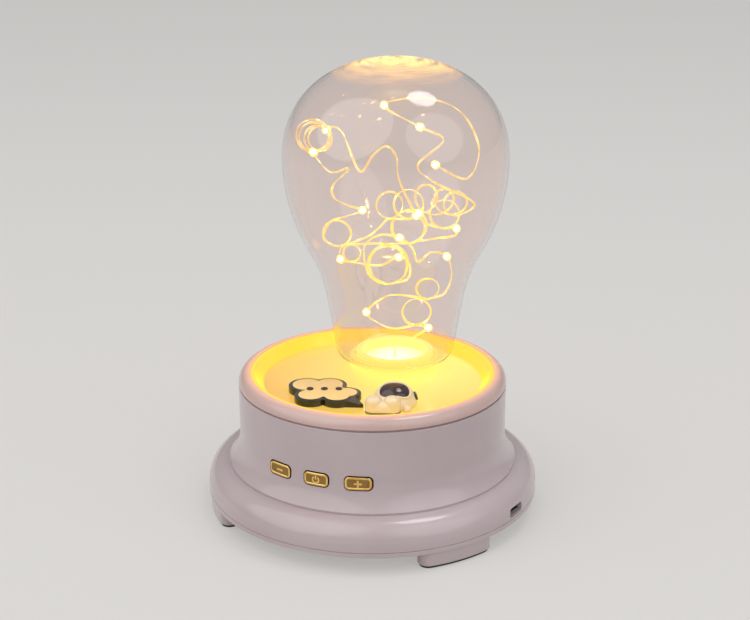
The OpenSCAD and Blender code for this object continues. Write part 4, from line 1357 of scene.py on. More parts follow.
    def rim(self) -> None:
        """Builds the domed rim and the posts that carry the light board."""
        round_z = self.seam_z + self.seam_rise
        top, round_r = round_z + self.rim_round, self.body_r - self.rim_round
        spigot_r, step_r = self.rim_step
        low, high = self.rim_floor
        under_top, under_low = self.tray_under
        profile = eased([(self.rim_floor_in, low, 0.2), (spigot_r, low, 0.3), (spigot_r, self.shell_z, 0),
                         (step_r, self.shell_z, 0), (step_r, self.seam_z, 0),
                         (self.body_r - self.seam_in, self.seam_z, 0.15)])
        profile += arc(round_r, round_z, self.rim_round, 0, 90, steps=20)
        profile += eased([(round_r, top, 0), (self.rim_in + self.rim_edge, top - self.rim_edge, 0.25),
                          (self.rim_in, under_top, 0.1), (self.tray_under_r + self.tray_gap, under_low, 0),
                          (self.rim_floor_in, high, 0.2)])[1:]
        shape = bmesh.new()
        lathe(shape, profile, around=self.around)
        for angle in self.board_post_angles:
            place = front_turn(angle) @ Matrix.Translation((0, -self.board_post_r, 0))
            lathe(shape, self.board_post.profile(), place, around=32)
        self.made("rim_moulding", shape, "rim_plastic", "rim_plastic", "rim_ring")

    def dish(self) -> None:
        """Builds the tray, whose finish glows with painted light."""
        inner, outer = self.tray_lip
        under_top, under_low = self.tray_under
        profile = eased([(0, TRAY_Z, 0), (self.tray_r, TRAY_Z, self.tray_round),
                         (inner, self.tray_lip_z, 0.35), (outer, self.tray_lip_z, 0.3),
                         (outer, under_top, 0.2), (self.tray_under_r, under_low, 0.4), (0, under_low, 0)])
        shape = bmesh.new()
        lathe(shape, profile, around=self.around)
        self.made("tray_dish", shape, "tray_plastic", "tray_plastic", "tray", sharp=50)

    def build(self) -> None:
        """Builds the mouldings and dresses the cover under them."""
        self.ring()
        self.drum()
        self.rim()
        self.dish()
        self.dress("case_plastic", "bottom_cover")
        self.dress("steel", "charge_port", "board_screws")


@dataclass
class Feet(Assembly):
    """Four curved feet with their soft pads."""

    middle: float = 60.4
    half: float = 4.0
    span: float = 21.5
    ease: float = 0.5
    ease_steps: int = 5
    pad_inset: float = 0.7
    pad_top: float = 1.0
    pad_ease: float = 0.3
    top: float = 6.7
    angles: tuple[tuple[str, float], ...] = (
        ("foot_front_left", -53.6), ("foot_front_right", 53.6),
        ("foot_rear_left", -126.4), ("foot_rear_right", 126.4))

    def outline(self, angle: float, half: float, z: float) -> list[Point3]:
        """Outline of a foot.

        Args:
            angle: Its place round the base, in degrees from the front.
            half: Half its depth.
            z: Height of the outline.

        Returns:
            The outline.
        """
        flat: list[Point2] = []
        for side in (1, -1):
            lean = side * self.span / 2
            flat += arc(0, 0, self.middle + side * half, 90 - lean, 90 + lean, steps=24)
            end = math.radians(90 + lean)
            turn = math.degrees(end) + (0 if side > 0 else 180)
            centre = (self.middle * math.cos(end), self.middle * math.sin(end))
            flat += arc(*centre, half, turn, turn + 180, steps=14)[1:-1]
        return moved(front_turn(angle + 180), [(x, y, z) for x, y in flat])

    def bar(self, shape: Shape, angle: float, half: float, low: float, high: float, ease: float) -> None:
        """Adds one curved bar with an eased lower edge.

        Args:
            shape: Where the faces go.
            angle: Its place round the base.
            half: Half its depth.
            low: Its lower face.
            high: Its upper face.
            ease: Radius of the lower edge.
        """
        layers = []
        for inset, rise in arc(ease, ease, -ease, 90, 0, self.ease_steps):
            layers.append(self.outline(angle, half - inset, low + rise))
        stack(shape, layers + [self.outline(angle, half, high)])

    def build(self) -> None:
        """Builds the feet and pads."""
        pads = bmesh.new()
        for name, angle in self.angles:
            shape = bmesh.new()
            self.bar(shape, angle, self.half, self.pad_top, self.top, self.ease)
            self.made(name + "_moulding", shape, "case_plastic", "case_plastic", name)
            self.bar(pads, angle, self.half - self.pad_inset, 0.0, self.pad_top, self.pad_ease)
        self.made("foot_pads_rubber", pads, "soft_rubber", "soft_rubber", "foot_pads")


@dataclass
class Globe(Assembly):
    """The clear globe on its seat."""

    radius: float = 44.1
    belly: float = 81.5
    height: float = 120.4
    wall: float = 1.6
    belly_curve: float = 72.0
    neck_curve: float = 60.0
    neck_radius: float = 24.0
    neck_lean: float = 9.5
    foot_round: float = 6.0
    mouth_lip: float = 2.0
    mouth_bead: float = 0.25
    fullness: float = 2.2
    crown_steps: int = 48
    seat_bore: float = 12.92
    seat_flange: float = 18.52
    seat_spigot: float = 15.62
    seat_below: float = 2.5
    seat_above: float = 3.5

    def side(self, depth: float) -> list[Point2]:
        """Profile of the wall from the bottom edge to the top.

        Args:
            depth: How far inside the outer face.

        Returns:
            Radius and height of each point.
        """
        lean = math.radians(self.neck_lean)
        belly_z, foot_z = SEAT_Z + self.belly, SEAT_Z + self.foot_round
        belly_x = self.radius - self.belly_curve
        both = self.belly_curve + self.neck_curve
        off = (belly_x - self.neck_radius) * math.cos(lean) - (belly_z - foot_z) * math.sin(lean)
        turn = self.neck_lean + math.degrees(math.acos((self.neck_curve - off) / both))
        neck_x = belly_x + both * math.cos(math.radians(turn))
        neck_z = belly_z - both * math.sin(math.radians(turn))
        foot_r = self.neck_radius - self.foot_round / math.cos(lean)
        out = arc(foot_r, foot_z, self.foot_round - depth, -90, -self.neck_lean, steps=14)
        out += arc(neck_x, neck_z, self.neck_curve + depth, 180 - self.neck_lean, 180 - turn, steps=24)
        out += arc(belly_x, belly_z, self.belly_curve - depth, -turn, 0, steps=28)[1:]
        rise, power = self.height - self.belly - depth, 2 / self.fullness
        for i in range(1, self.crown_steps):
            t = math.pi / 2 * i / self.crown_steps
            out.append(((self.radius - depth) * math.cos(t) ** power, belly_z + rise * math.sin(t) ** power))
        return out + [(0.0, belly_z + rise)]

    def build(self) -> None:
        """Builds the globe and its seat."""
        place = Matrix.Translation((0, GLOBE_Y, 0))
        outside, inside = self.side(0), self.side(self.wall)
        mouth = outside[0][0] - self.mouth_lip
        lip = [(mouth, SEAT_Z + self.wall), (mouth - self.mouth_bead, SEAT_Z + self.wall / 2),
               (mouth, SEAT_Z)]
        shape = bmesh.new()
        lathe(shape, outside + list(reversed(inside)) + lip, place, around=160)
        self.made("globe_clear", shape, "clear_globe", "globe_glass", "bulb_globe", sharp=60)
        low, high = SEAT_Z - self.seat_below, SEAT_Z + self.seat_above
        profile = eased([(self.seat_bore, low, 0.2), (self.seat_flange, low, 0),
                         (self.seat_flange, SEAT_Z, 0.5), (self.seat_spigot, SEAT_Z, 0.3),
                         (self.seat_spigot, high, 0.5), (self.seat_bore, high, 0.6)])
        shape = bmesh.new()
        lathe(shape, profile, place, around=120)
        self.made("seat_moulding", shape, "seat_plastic", "tray_plastic", "bulb_seat")
        self.dress("lens_plastic", "seat_lens")


@dataclass
class LightString(Assembly):
    """The twin wire with its light drops: the loops of its solid, fuller and as they hang.

    Each point of the route has its place about the globe's axis and above the seat, the radius of the small
    turns there, and how many of them follow before the next point.
    """

    strand_r: float = 0.19
    half_gap: float = 0.26
    twist: float = 120.0
    strand_sides: int = 6
    drop_r: float = 1.6
    drop_l: float = 1.9
    core_r: float = 1.05
    under_seat: float = -4.0
    least_steps: int = 16
    turn_steps: int = 40
    lights: tuple[int, ...] = (2, 7, 14, 18, 26, 30, 37, 41, 52, 58, 60, 68, 75, 76, 81)
    route: tuple[tuple[float, ...], ...] = (
        (0, 0, 4, 0, 0), (7, -3, 9, 0, 0), (13, -8, 15, 0, 0), (8.5, -11, 17, 5.5, -1),
        (8, -6, 15.5, 5.5, 0), (0.5, -2, 12.5, 0, 0), (-6, 2, 13, 0, 0), (-11.5, 4, 17.5, 0, 0),
        (-3.5, 1, 25.5, 0, 0), (5, -3, 27, 0, 0), (12, -6, 26.5, 4.5, 1), (13.5, -1, 25, 4.5, 0),
        (20, 3, 26, 0, 0), (23, 6, 32.5, 0, 0), (21, 6, 40, 0, 0), (14.5, 2, 43, 0, 0),
        (9, -4, 41, 0, 0), (6.5, -8, 48, 0, 0), (1.5, -10, 52.5, 0, 0), (-6, -13, 54.5, 0, 0),
        (-12, -15, 50.5, 0, 0), (-10.5, -15, 40, 0, 0), (-3.5, -12, 35, 8, 2), (-2.5, -4, 32.5, 7.4, 0),
        (4.5, 0, 33, 0, 0), (6, 4, 37, 0, 0), (1.5, 7, 39.5, 0, 0), (-6, 9, 35.5, 0, 0),
        (-16.5, 12, 35.5, 3.7, -1), (-18, 7, 37.5, 3.7, 0), (-22, 2, 40, 0, 0), (-21, 2, 45.5, 0, 0),
        (-13, 2, 46.5, 0, 0), (4.5, 1, 47, 7, 2), (5.5, 8, 45, 6.6, 0), (16.5, 8, 47, 0, 0),
        (23.5, 3, 49.5, 0, 0), (24, -2, 54, 0, 0), (19.5, -4, 54.5, 5.8, -1), (19, 1.5, 53, 5.8, 0),
        (13, 8, 53, 0, 0), (8.5, 13, 55, 0, 0), (6, 16, 53, 6.3, -1), (5, 20.5, 51.5, 6, 0),
        (-1.5, 23, 51, 5.5, -1), (-3, 18.5, 52, 5.5, 0), (-11, 16, 45.5, 0, 0), (-23, 12, 42.5, 5.6, -1),
        (-23.5, 7, 44, 5.6, 0), (-29, 7, 47, 0, 0), (-26, 7, 54, 0, 0), (-18.5, 6, 57, 0, 0),
        (-13, 3, 60, 0, 0), (-18.5, -1, 63, 0, 0), (-24, -4, 67, 0, 0), (-24, -8, 73, 0, 0),
        (-18, -13, 80.5, 0, 0), (-25, -14, 79.5, 0, 0), (-31.5, -7, 85.5, 6.2, -3.5), (-29, 4, 84, 4.8, 0),
        (-27, 6.5, 91.5, 0, -0.5), (-21, 1, 92, 0, 0), (-14, -10, 79, 0, 0), (-9, -12, 85, 0, 0),
        (-4, -10, 88.5, 0, 0), (0, -8, 84.5, 0, 0), (1, -6, 75.5, 0, 0), (5, -5, 66, 0, 0),
        (9, -5, 61, 6, 2), (21, -11, 62, 5, 1), (23.5, -14.5, 62.5, 4.6, 0), (29.5, -16, 68, 0, 0),
        (14.5, -18.5, 76.5, 0, 0), (8, -20, 83.5, 0, 0), (17.5, -18, 92.5, 0, 0), (9, -8, 95.5, 0, 0),
        (-4.5, 2, 102, 0, 0), (11.5, 12, 103, 0, 0), (26, 14, 97, 0, 0), (33, 8, 83.5, 0, 0),
        (28, 4, 72.5, 0, 0), (15.5, 0, 79, 0, 0))

    def placed(self, p: Vector) -> Vector:
        """Moves a point of the route into the lamp.

        Args:
            p: The point in millimetres.

        Returns:
            Its place in metres.
        """
        a = math.radians(FACING)
        x = p.x * math.cos(a) - p.y * math.sin(a)
        y = p.x * math.sin(a) + p.y * math.cos(a)
        return Vector((x, y + GLOBE_Y, p.z + SEAT_Z)) * MM

    def path(self) -> tuple[list[Vector], list[Vector], list[Vector]]:
        """Works out the wire's line: a smooth curve through the route, with its small turns.

        Returns:
            Its points, and the place and direction of each light, in metres.
        """
        spots = [Vector(p[:3]) for p in self.route]
        last = len(spots) - 1
        points = [Vector((0, 0, z)) for z in (BOARD_Z - SEAT_Z, self.under_seat, 0.0)]
        starts: list[int] = []
        turned = 0.0
        for i in range(last):
            a, b, c, d = (spots[min(max(i + k, 0), last)] for k in (-1, 0, 1, 2))
            near, far, turns = self.route[i][3], self.route[i + 1][3], self.route[i][4]
            square, cube = 2 * a - 5 * b + 4 * c - d, 3 * b - a - 3 * c + d
            steps = int(max(self.least_steps, self.turn_steps * abs(turns)))
            starts.append(len(points))
            for k in range(steps):
                t = k / steps
                p = (2 * b + (c - a) * t + square * t ** 2 + cube * t ** 3) / 2
                r = near + (far - near) * t * t * (3 - 2 * t)
                w = 2 * math.pi * (turned + turns * t)
                points.append(p + r * Vector((math.sin(w), 0, 1 - math.cos(w))))
            turned += turns
        starts.append(len(points))
        points.append(spots[-1])
        line = [self.placed(p) for p in points]
        at = [starts[i] for i in self.lights]
        along = [(line[min(k + 1, len(line) - 1)] - line[k - 1]).normalized() for k in at]
        return line, [line[k] for k in at], along

    def build(self) -> None:
        """Builds the wire, the drops and their bright cores."""
        line, where, along = self.path()
        mesh = bpy.data.meshes.new("string_line")
        mesh.from_pydata(line, [(i, i + 1) for i in range(len(line) - 1)], [])
        wire = grown("string_wire", mesh, wire_tree(), {
            "Radius": self.strand_r * MM, "Half Gap": self.half_gap * MM, "Twist": self.twist,
            "Sides": self.strand_sides, "Finish": self.finishes["gold_wire"]})
        self.seat(wire, HOUSING, "string_wire", "fairy_wire")
        tree = drop_tree()
        for name, finish, r, half, nodes in (
                ("string_drops", "drop_shell", self.drop_r, self.drop_l, ["fairy_leds"]),
                ("string_cores", "drop_core", self.core_r, self.core_r, [])):
            sizes = {"Radius": r * MM, "Half Length": half * MM, "Finish": self.finishes[finish]}
            piece = grown(name, places(name + "_places", where, along), tree, sizes)
            self.seat(piece, HOUSING, "light_drops", *nodes)


@dataclass
class CloudSign(Assembly):
    """The flat cloud-shaped sign. Its edges are listed as insets, each with a height or a depth."""

    at: Point2 = (-10.3, -22.4)
    thick: float = 2.72
    face: float = 0.18
    border: float = 1.6
    back_foot: tuple[Point2, ...] = ((0.25, 0.0), (0.0, 0.25))
    back_top: tuple[Point2, ...] = ((0.0, 0.35), (0.1, 0.1), (0.35, 0.0))
    face_top: tuple[Point2, ...] = ((0.0, 0.12), (0.05, 0.03), (0.15, 0.0))
    lobes: tuple[Point3, ...] = (
        (0, 0, 8.8), (-6.9, 5.1, 7.1), (1.7, 5.4, 6.8), (8.5, -2.9, 5.6), (4.9, -6, 6.3), (-4.9, -5.1, 6.4))
    tail: tuple[Point2, ...] = ((4, -11), (15.1, -11.7), (11, -6))
    tail_fall: float = 5.0
    tail_thin: float = 0.5
    dots: tuple[float, ...] = (-5.5, 0.0, 5.5)
    dot_r: float = 1.3
    dot_h: float = 0.5
    dot_round: float = 0.3
    points: int = 240

    def reach(self, angle: float, border: float, tail: bool) -> float:
        """How far the cloud reaches from its middle.

        Args:
            angle: Direction in radians.
            border: How far in from the edge.
            tail: Whether the tail counts.

        Returns:
            The distance.
        """
        d = Vector((math.cos(angle), math.sin(angle)))
        far = 0.0
        for x, y, r in self.lobes:
            along = d.x * x + d.y * y
            across = abs(d.x * y - d.y * x)
            if across < r - border:
                far = max(far, along + math.sqrt((r - border) ** 2 - across ** 2))
        for i in range(3 if tail else 0):
            a, b = Vector(self.tail[i]), Vector(self.tail[(i + 1) % 3])
            edge = b - a
            across = d.x * edge.y - d.y * edge.x
            if abs(across) > TINY:
                t = (a.x * edge.y - a.y * edge.x) / across
                u = (a.x * d.y - a.y * d.x) / across
                if t > 0 and 0 <= u <= 1:
                    far = max(far, t)
        return far

    def placed(self, x: float, y: float, z: float) -> Point3:
        """Moves a point of the sign onto the tray.

        Args:
            x: Along the sign.
            y: Across the sign.
            z: Its height in the lamp.

        Returns:
            Its place in the lamp.
        """
        a = math.radians(FACING)
        across, along = x * math.cos(a) - y * math.sin(a), x * math.sin(a) + y * math.cos(a)
        return (self.at[0] + across, self.at[1] + along, z)

    def layer(self, border: float, tail: bool, z: float) -> list[Point3]:
        """One outline of the sign, which thins along its tail.

        Args:
            border: How far in from the edge.
            tail: Whether the tail counts.
            z: Its height.

        Returns:
            The outline.
        """
        out = []
        for t in circle(self.points):
            far = self.reach(t, border, tail)
            past = min((far - self.reach(t, border, False)) / self.tail_fall, 1.0)
            low = TRAY_Z + (z - TRAY_Z) * (1 - self.tail_thin * past)
            out.append(self.placed(far * math.cos(t), far * math.sin(t), low))
        return out

    def build(self) -> None:
        """Builds the dark back, the face and its dots."""
        top = TRAY_Z + self.thick
        face = top + self.face
        layers = [self.layer(inset, True, TRAY_Z + rise) for inset, rise in self.back_foot]
        layers += [self.layer(inset, True, top - drop) for inset, drop in self.back_top]
        shape = bmesh.new()
        stack(shape, layers)
        self.made("sign_back", shape, "black_gloss", "black_plastic", "sign_plate", sharp=40)
        layers = [self.layer(self.border, False, top)]
        layers += [self.layer(self.border + inset, False, face - drop) for inset, drop in self.face_top]
        shape = bmesh.new()
        stack(shape, layers)
        self.made("sign_front", shape, "sign_cream", "cream_plastic", "sign_face", sharp=40)
        round_r, round_z = self.dot_r - self.dot_round, face + self.dot_h - self.dot_round
        profile = [(0, face), (self.dot_r, face)] + arc(round_r, round_z, self.dot_round, 0, 90, steps=4)
        shape = bmesh.new()
        for x in self.dots:
            place = Matrix.Translation(self.placed(x, 0, 0))
            lathe(shape, profile + [(0, face + self.dot_h)], place, around=40)
        self.made("sign_spots", shape, "black_gloss", "black_plastic", "sign_dots", sharp=40)


@dataclass
class Astronaut(Assembly):
    """The small figure that lies on the tray."""

    at: Point3 = (17.1, -19.0, TRAY_Z)
    helmet_r: float = 8.6
    helmet_start: float = 5.0
    helmet_foot: tuple[Point2, ...] = ((0.35, 0.0), (0.08, 0.25))
    visor: Point3 = (11.2, 6.6, 2.9)
    visor_corner: float = 0.25
    visor_tilt: float = 25.0
    visor_out: float = 0.15
    visor_rings: tuple[Point2, ...] = (
        (0.1, 0.85), (0.0, 0.2), (0.08, 0.07), (0.3, 0.0), (1.0, 0.0), (1.8, 0.0), (2.6, 0.0), (3.15, 0.0))
    bead_r: float = 0.42
    bead_gap: float = 0.45
    bead_out: float = 0.05
    pod: tuple[Point3, ...] = (
        (0, -0.6, 0), (1.7, -0.6, 0), (1.7, 0.55, 0.3), (0.9, 0.55, 0.15), (0.75, 0.3, 0.1), (0, 0.3, 0))
    pod_lean: float = 68.0
    boots: tuple[Point2, ...] = ((-7.9, -7.8), (-0.9, -8.0))
    boot_r: float = 3.2
    boot_h: float = 6.2
    boot_round: float = 2.6
    boot_foot: Point2 = (0.2, 0.3)
    between_h: float = 4.3
    between_steps: int = 8
    torso: Point3 = (-2.5, -4.0, 0.6)
    torso_r: float = 5.0
    leg_r: float = 2.7
    leg_z: float = 2.6
    ankle_y: float = 1.2
    shoulder: Point3 = (3.2, -5.4, 1.6)
    arm_r: float = 1.55
    hand: Point3 = (4.6, -7.6, 1.0)
    hand_r: float = 1.7
    limb_steps: int = 4
    voxel: float = 0.22
    trim: float = 0.02
    sole_edge: tuple[Point2, ...] = ((-0.1, 0.0), (0.08, 0.15), (0.1, 0.7), (0.0, 0.9))

    def place(self) -> Matrix:
        """Where the figure lies."""
        return Matrix.Translation(self.at) @ front_turn(FACING)

    def on_helmet(self, u: float, v: float, r: float) -> Vector:
        """A place on the helmet: u across and v up the visor, and r from the helmet's middle."""
        tilt = Matrix.Rotation(math.radians(self.visor_tilt), 4, "X")
        return self.place() @ tilt @ Vector((u, v, math.sqrt(max(r * r - u * u - v * v, 0.0))))

    def pane(self, inset: float) -> list[Point2]:
        """Outline of the visor.

        Args:
            inset: How far it is set in.

        Returns:
            The outline.
        """
        width, height, corner = self.visor
        corner = max(corner - inset, self.visor_corner)
        return round_box(width - 2 * inset, height - 2 * inset, corner, steps=8, sides=8)

    def helmet(self) -> None:
        """Builds the helmet with the bead round its visor, and the pod at its side."""
        r = self.helmet_r
        foot = [(r - inset, z) for inset, z in self.helmet_foot]
        shape = bmesh.new()
        crown = arc(0, 0, r, self.helmet_start, 90, steps=26)[:-1]
        lathe(shape, [(0, 0)] + foot + crown + [(0, r)], self.place(), around=72)
        bead = [self.on_helmet(u, v, r + self.bead_out) for u, v in self.pane(-self.bead_gap)]
        hoop(shape, bead, self.bead_r)
        self.made("helmet_shell", shape, "figure_white", "white_plastic", "figure_helmet", sharp=50)
        lean = Matrix.Rotation(math.radians(self.pod_lean), 4, "Y")
        shape = bmesh.new()
        lathe(shape, eased(list(self.pod)), self.place() @ lean @ Matrix.Translation((0, 0, r)), around=32)
        self.made("helmet_pod", shape, "black_gloss", "black_plastic")

    def glass(self) -> None:
        """Builds the dark visor, which folds onto its middle line."""
        r = self.helmet_r + self.visor_out
        rings = [[tuple(self.on_helmet(u, v, r - deep)) for u, v in self.pane(inset)]
                 for inset, deep in self.visor_rings]
        rings.append([tuple(self.on_helmet(u, 0.0, r)) for u, v in self.pane(self.visor_rings[-1][0])])
        shape = bmesh.new()
        stack(shape, rings, shut=False)
        self.made("visor_pane", shape, "visor_gloss", "visor_plastic", "figure_visor", sharp=50)

    def limb(self, start: Point3, end: Point3, r: float) -> list[tuple[Point3, float]]:
        """Fills a limb from start to end with balls, each with its centre and radius."""
        shares = [k / self.limb_steps for k in range(self.limb_steps + 1)]
        return [(tuple(a + (b - a) * t for a, b in zip(start, end)), r) for t in shares]

    def suit(self) -> None:
        """Builds boots, legs, body and glove as one smooth form that is cut level with the tray."""
        balls = [(self.torso, self.torso_r)]
        hip = (self.torso[0], self.torso[1], self.leg_z)
        for x, y in self.boots:
            balls += self.limb(hip, (x, y + self.ankle_y, self.leg_z), self.leg_r)
        balls += self.limb(self.shoulder, self.hand, self.arm_r) + [(self.hand, self.hand_r)]
        shape = bmesh.new()
        for centre, radius in balls:
            spot = self.place() @ Matrix.Translation(centre)
            bmesh.ops.create_uvsphere(shape, u_segments=28, v_segments=18, radius=radius, matrix=spot)
        (ax, ay), (bx, by) = self.boots
        low, ease = self.boot_foot
        for k in range(self.between_steps + 1):
            t = k / self.between_steps
            tall = self.boot_h if k in (0, self.between_steps) else self.between_h
            boot = [(0, low, 0), (self.boot_r, low, ease), (self.boot_r, tall, self.boot_round), (0, tall, 0)]
            spot = Matrix.Translation((ax + (bx - ax) * t, ay + (by - ay) * t, 0))
            lathe(shape, eased(boot, steps=12), self.place() @ spot, around=48)
        shape = worked(shape, [("REMESH", {"mode": "VOXEL", "voxel_size": self.voxel}),
                               ("SMOOTH", {"factor": 0.5, "iterations": 6})])
        bmesh.ops.bisect_plane(shape, geom=shape.verts[:] + shape.edges[:] + shape.faces[:], clear_outer=True,
                               plane_co=(0, 0, self.at[2] + self.trim), plane_no=(0, 0, -1))
        bmesh.ops.holes_fill(shape, edges=[e for e in shape.edges if e.is_boundary])
        self.made("suit_form", shape, "figure_white", "white_plastic", "figure_suit", sharp=50)

    def soles(self) -> None:
        """Builds the sole that joins the boots."""
        (ax, ay), (bx, by) = self.boots
        x, y = (ax + bx) / 2, (ay + by) / 2
        layers = []
        for grow, z in self.sole_edge:
            r = self.boot_r + grow
            flat = round_box(bx - ax + 2 * r, 2 * r, r, steps=16)
            layers.append(moved(self.place(), [(x + u, y + v, z) for u, v in flat]))
        shape = bmesh.new()
        stack(shape, layers)
        self.made("boot_soles", shape, "sole_rubber", "white_plastic")

    def build(self) -> None:
        """Builds the figure."""
        self.helmet()
        self.glass()
        self.suit()
        self.soles()


class Icon(Enum):
    """The sign on a button."""

    LESS = "minus"
    POWER = "power"
    MORE = "plus"

    def strips(self) -> list[list[Point2]]:
        """Outlines of the sign.

        Returns:
            Each outline, in millimetres about the middle of the sign.
        """
        bar_l, bar_w, bar_round = 3.1, 0.78, 0.38
        bar = round_box(bar_l, bar_w, bar_round, steps=4)
        if self is Icon.LESS:
            return [bar]
        if self is Icon.MORE:
            return [bar, [(-y, x) for x, y in bar]]
        ring_y, outer, inner, gap = -0.1, 1.55, 0.9, 35
        stroke_w, stroke_l, stroke_round, stroke_y = 0.64, 1.7, 0.3, 0.85
        outside, inside = (arc(0, ring_y, r, 90 + gap, 450 - gap, steps=40) for r in (outer, inner))
        stroke = round_box(stroke_w, stroke_l, stroke_round, steps=4)
        return [outside + list(reversed(inside)), [(x, y + stroke_y) for x, y in stroke]]


@dataclass
class PushButtons(Assembly):
    """The three gold buttons, each on its own body. A cap's edge is listed as insets with their depths."""

    front_r: float = 52.9
    width: float = 9.8
    tall: float = 5.2
    corner: float = 1.7
    least_corner: float = 0.2
    edge: tuple[Point2, ...] = ((0, 0.5), (0.1, 0.22), (0.25, 0.07), (0.5, 0), (0.72, 0), (0.86, 0.06))
    dish: float = 0.22
    dish_insets: tuple[float, ...] = (0.98, 1.5, 2.1)
    wall_in: float = 50.1
    wall_gap: float = 0.3
    flange: float = 1.1
    flange_t: float = 1.2
    flange_corner: float = 0.8
    stem_r: float = 2.0
    stem_ease: float = 0.1
    tip_y: float = -43.21
    sunk: float = 0.1
    sign_depth: float = 0.06
    row: tuple[tuple[Icon, float], ...] = (
        (Icon.LESS, -BUTTON_PITCH), (Icon.POWER, 0.0), (Icon.MORE, BUTTON_PITCH))

    def front(self, x: float, inset: float, depth: float, fold: bool = False) -> list[Point3]:
        """One outline of a cap on the curved front.

        Args:
            x: Middle of the button.
            inset: How far in from the cap's side.
            depth: How far behind the front.
            fold: Whether the outline folds onto its middle line.

        Returns:
            The outline.
        """
        corner = max(self.corner - inset, self.least_corner)
        flat = round_box(self.width - 2 * inset, self.tall - 2 * inset, corner, sides=8)
        r = self.front_r - depth
        return [(x + u, -math.sqrt(r * r - (x + u) ** 2), BUTTON_Z + (0.0 if fold else v)) for u, v in flat]

    def cap(self, icon: Icon, x: float) -> None:
        """Builds a cap with its flange and stem.

        Args:
            icon: The button's sign.
            x: Middle of the button.
        """
        reach = abs(x) + self.width / 2 + self.flange
        back = -math.sqrt(self.wall_in ** 2 - reach ** 2) + self.wall_gap
        layers = [[(u, back + self.sunk, z) for u, _, z in self.front(x, 0, 0)]]
        layers += [self.front(x, inset, depth) for inset, depth in self.edge]
        layers += [self.front(x, inset, self.dish) for inset in self.dish_insets]
        layers.append(self.front(x, self.dish_insets[-1], self.dish, fold=True))
        shape = bmesh.new()
        stack(shape, layers, shut=False)
        plate = round_box(self.width + 2 * self.flange, self.tall + 2 * self.flange, self.flange_corner)
        stack(shape, [[(x + u, y, BUTTON_Z + v) for u, v in plate] for y in (back, back + self.flange_t)])
        low, high = back + self.flange_t - self.sunk, self.tip_y
        stem = eased([(0, low, 0), (self.stem_r, low, 0), (self.stem_r, high, self.stem_ease), (0, high, 0)])
        lathe(shape, stem, Matrix.Translation((x, 0, BUTTON_Z)) @ to_back(), around=32)
        self.made(f"button_{icon.value}_cap", shape, "gold_plate", "gold_plate", f"button_{icon.value}",
                  sharp=40, body=f"button_{icon.value}_body")

    def sign(self, icon: Icon, x: float) -> None:
        """Builds the raised sign on a cap.

        Args:
            icon: The sign.
            x: Middle of the button.
        """
        middle = math.asin(x / self.front_r)
        shape = bmesh.new()
        for outline in icon.strips():
            turns = [(middle + u / self.front_r, v) for u, v in outline]
            stack(shape, [[(r * math.sin(t), -r * math.cos(t), BUTTON_Z + v) for t, v in turns]
                          for r in (self.front_r - self.dish - self.sunk, self.front_r - self.sign_depth)])
        self.made(f"button_{icon.value}_sign", shape, "gold_plate", "gold_plate",
                  sharp=40, body=f"button_{icon.value}_body")

    def build(self) -> None:
        """Builds the caps and signs."""
        for icon, x in self.row:
            self.cap(icon, x)
            self.sign(icon, x)


@dataclass(frozen=True)
class Skirt:
    """A soft waved skirt between the speaker's frame and its cone."""

    name: str
    node: str
    finish: str
    slot: str
    outer: float
    inner: float
    z: float
    rise: float
    wave: float
    waves: int
    bend_z: Point2
    lip: float = 0.0
    wave_steps: int = 24

    def lower(self) -> list[Point2]:
        """Outline of its lower face.

        Returns:
            Radius and height of each point.
        """
        count = self.wave_steps * self.waves
        line = [(self.outer + self.lip, self.z)] if self.lip else []
        for t in (i / count for i in range(count + 1)):
            swing = self.wave * math.sin(2 * math.pi * self.waves * t)
            line.append((self.outer + (self.inner - self.outer) * t, self.z + self.rise * t + swing))
        return line


@dataclass(frozen=True)
class ScrewSet:
    """Screws with a cross in each head, which faces up where up is 1 and down where it is -1."""

    name: str
    node: str
    angles: tuple[float, ...]
    r: float
    head_z: float
    up: int
    head: Point2
    shank: Point2


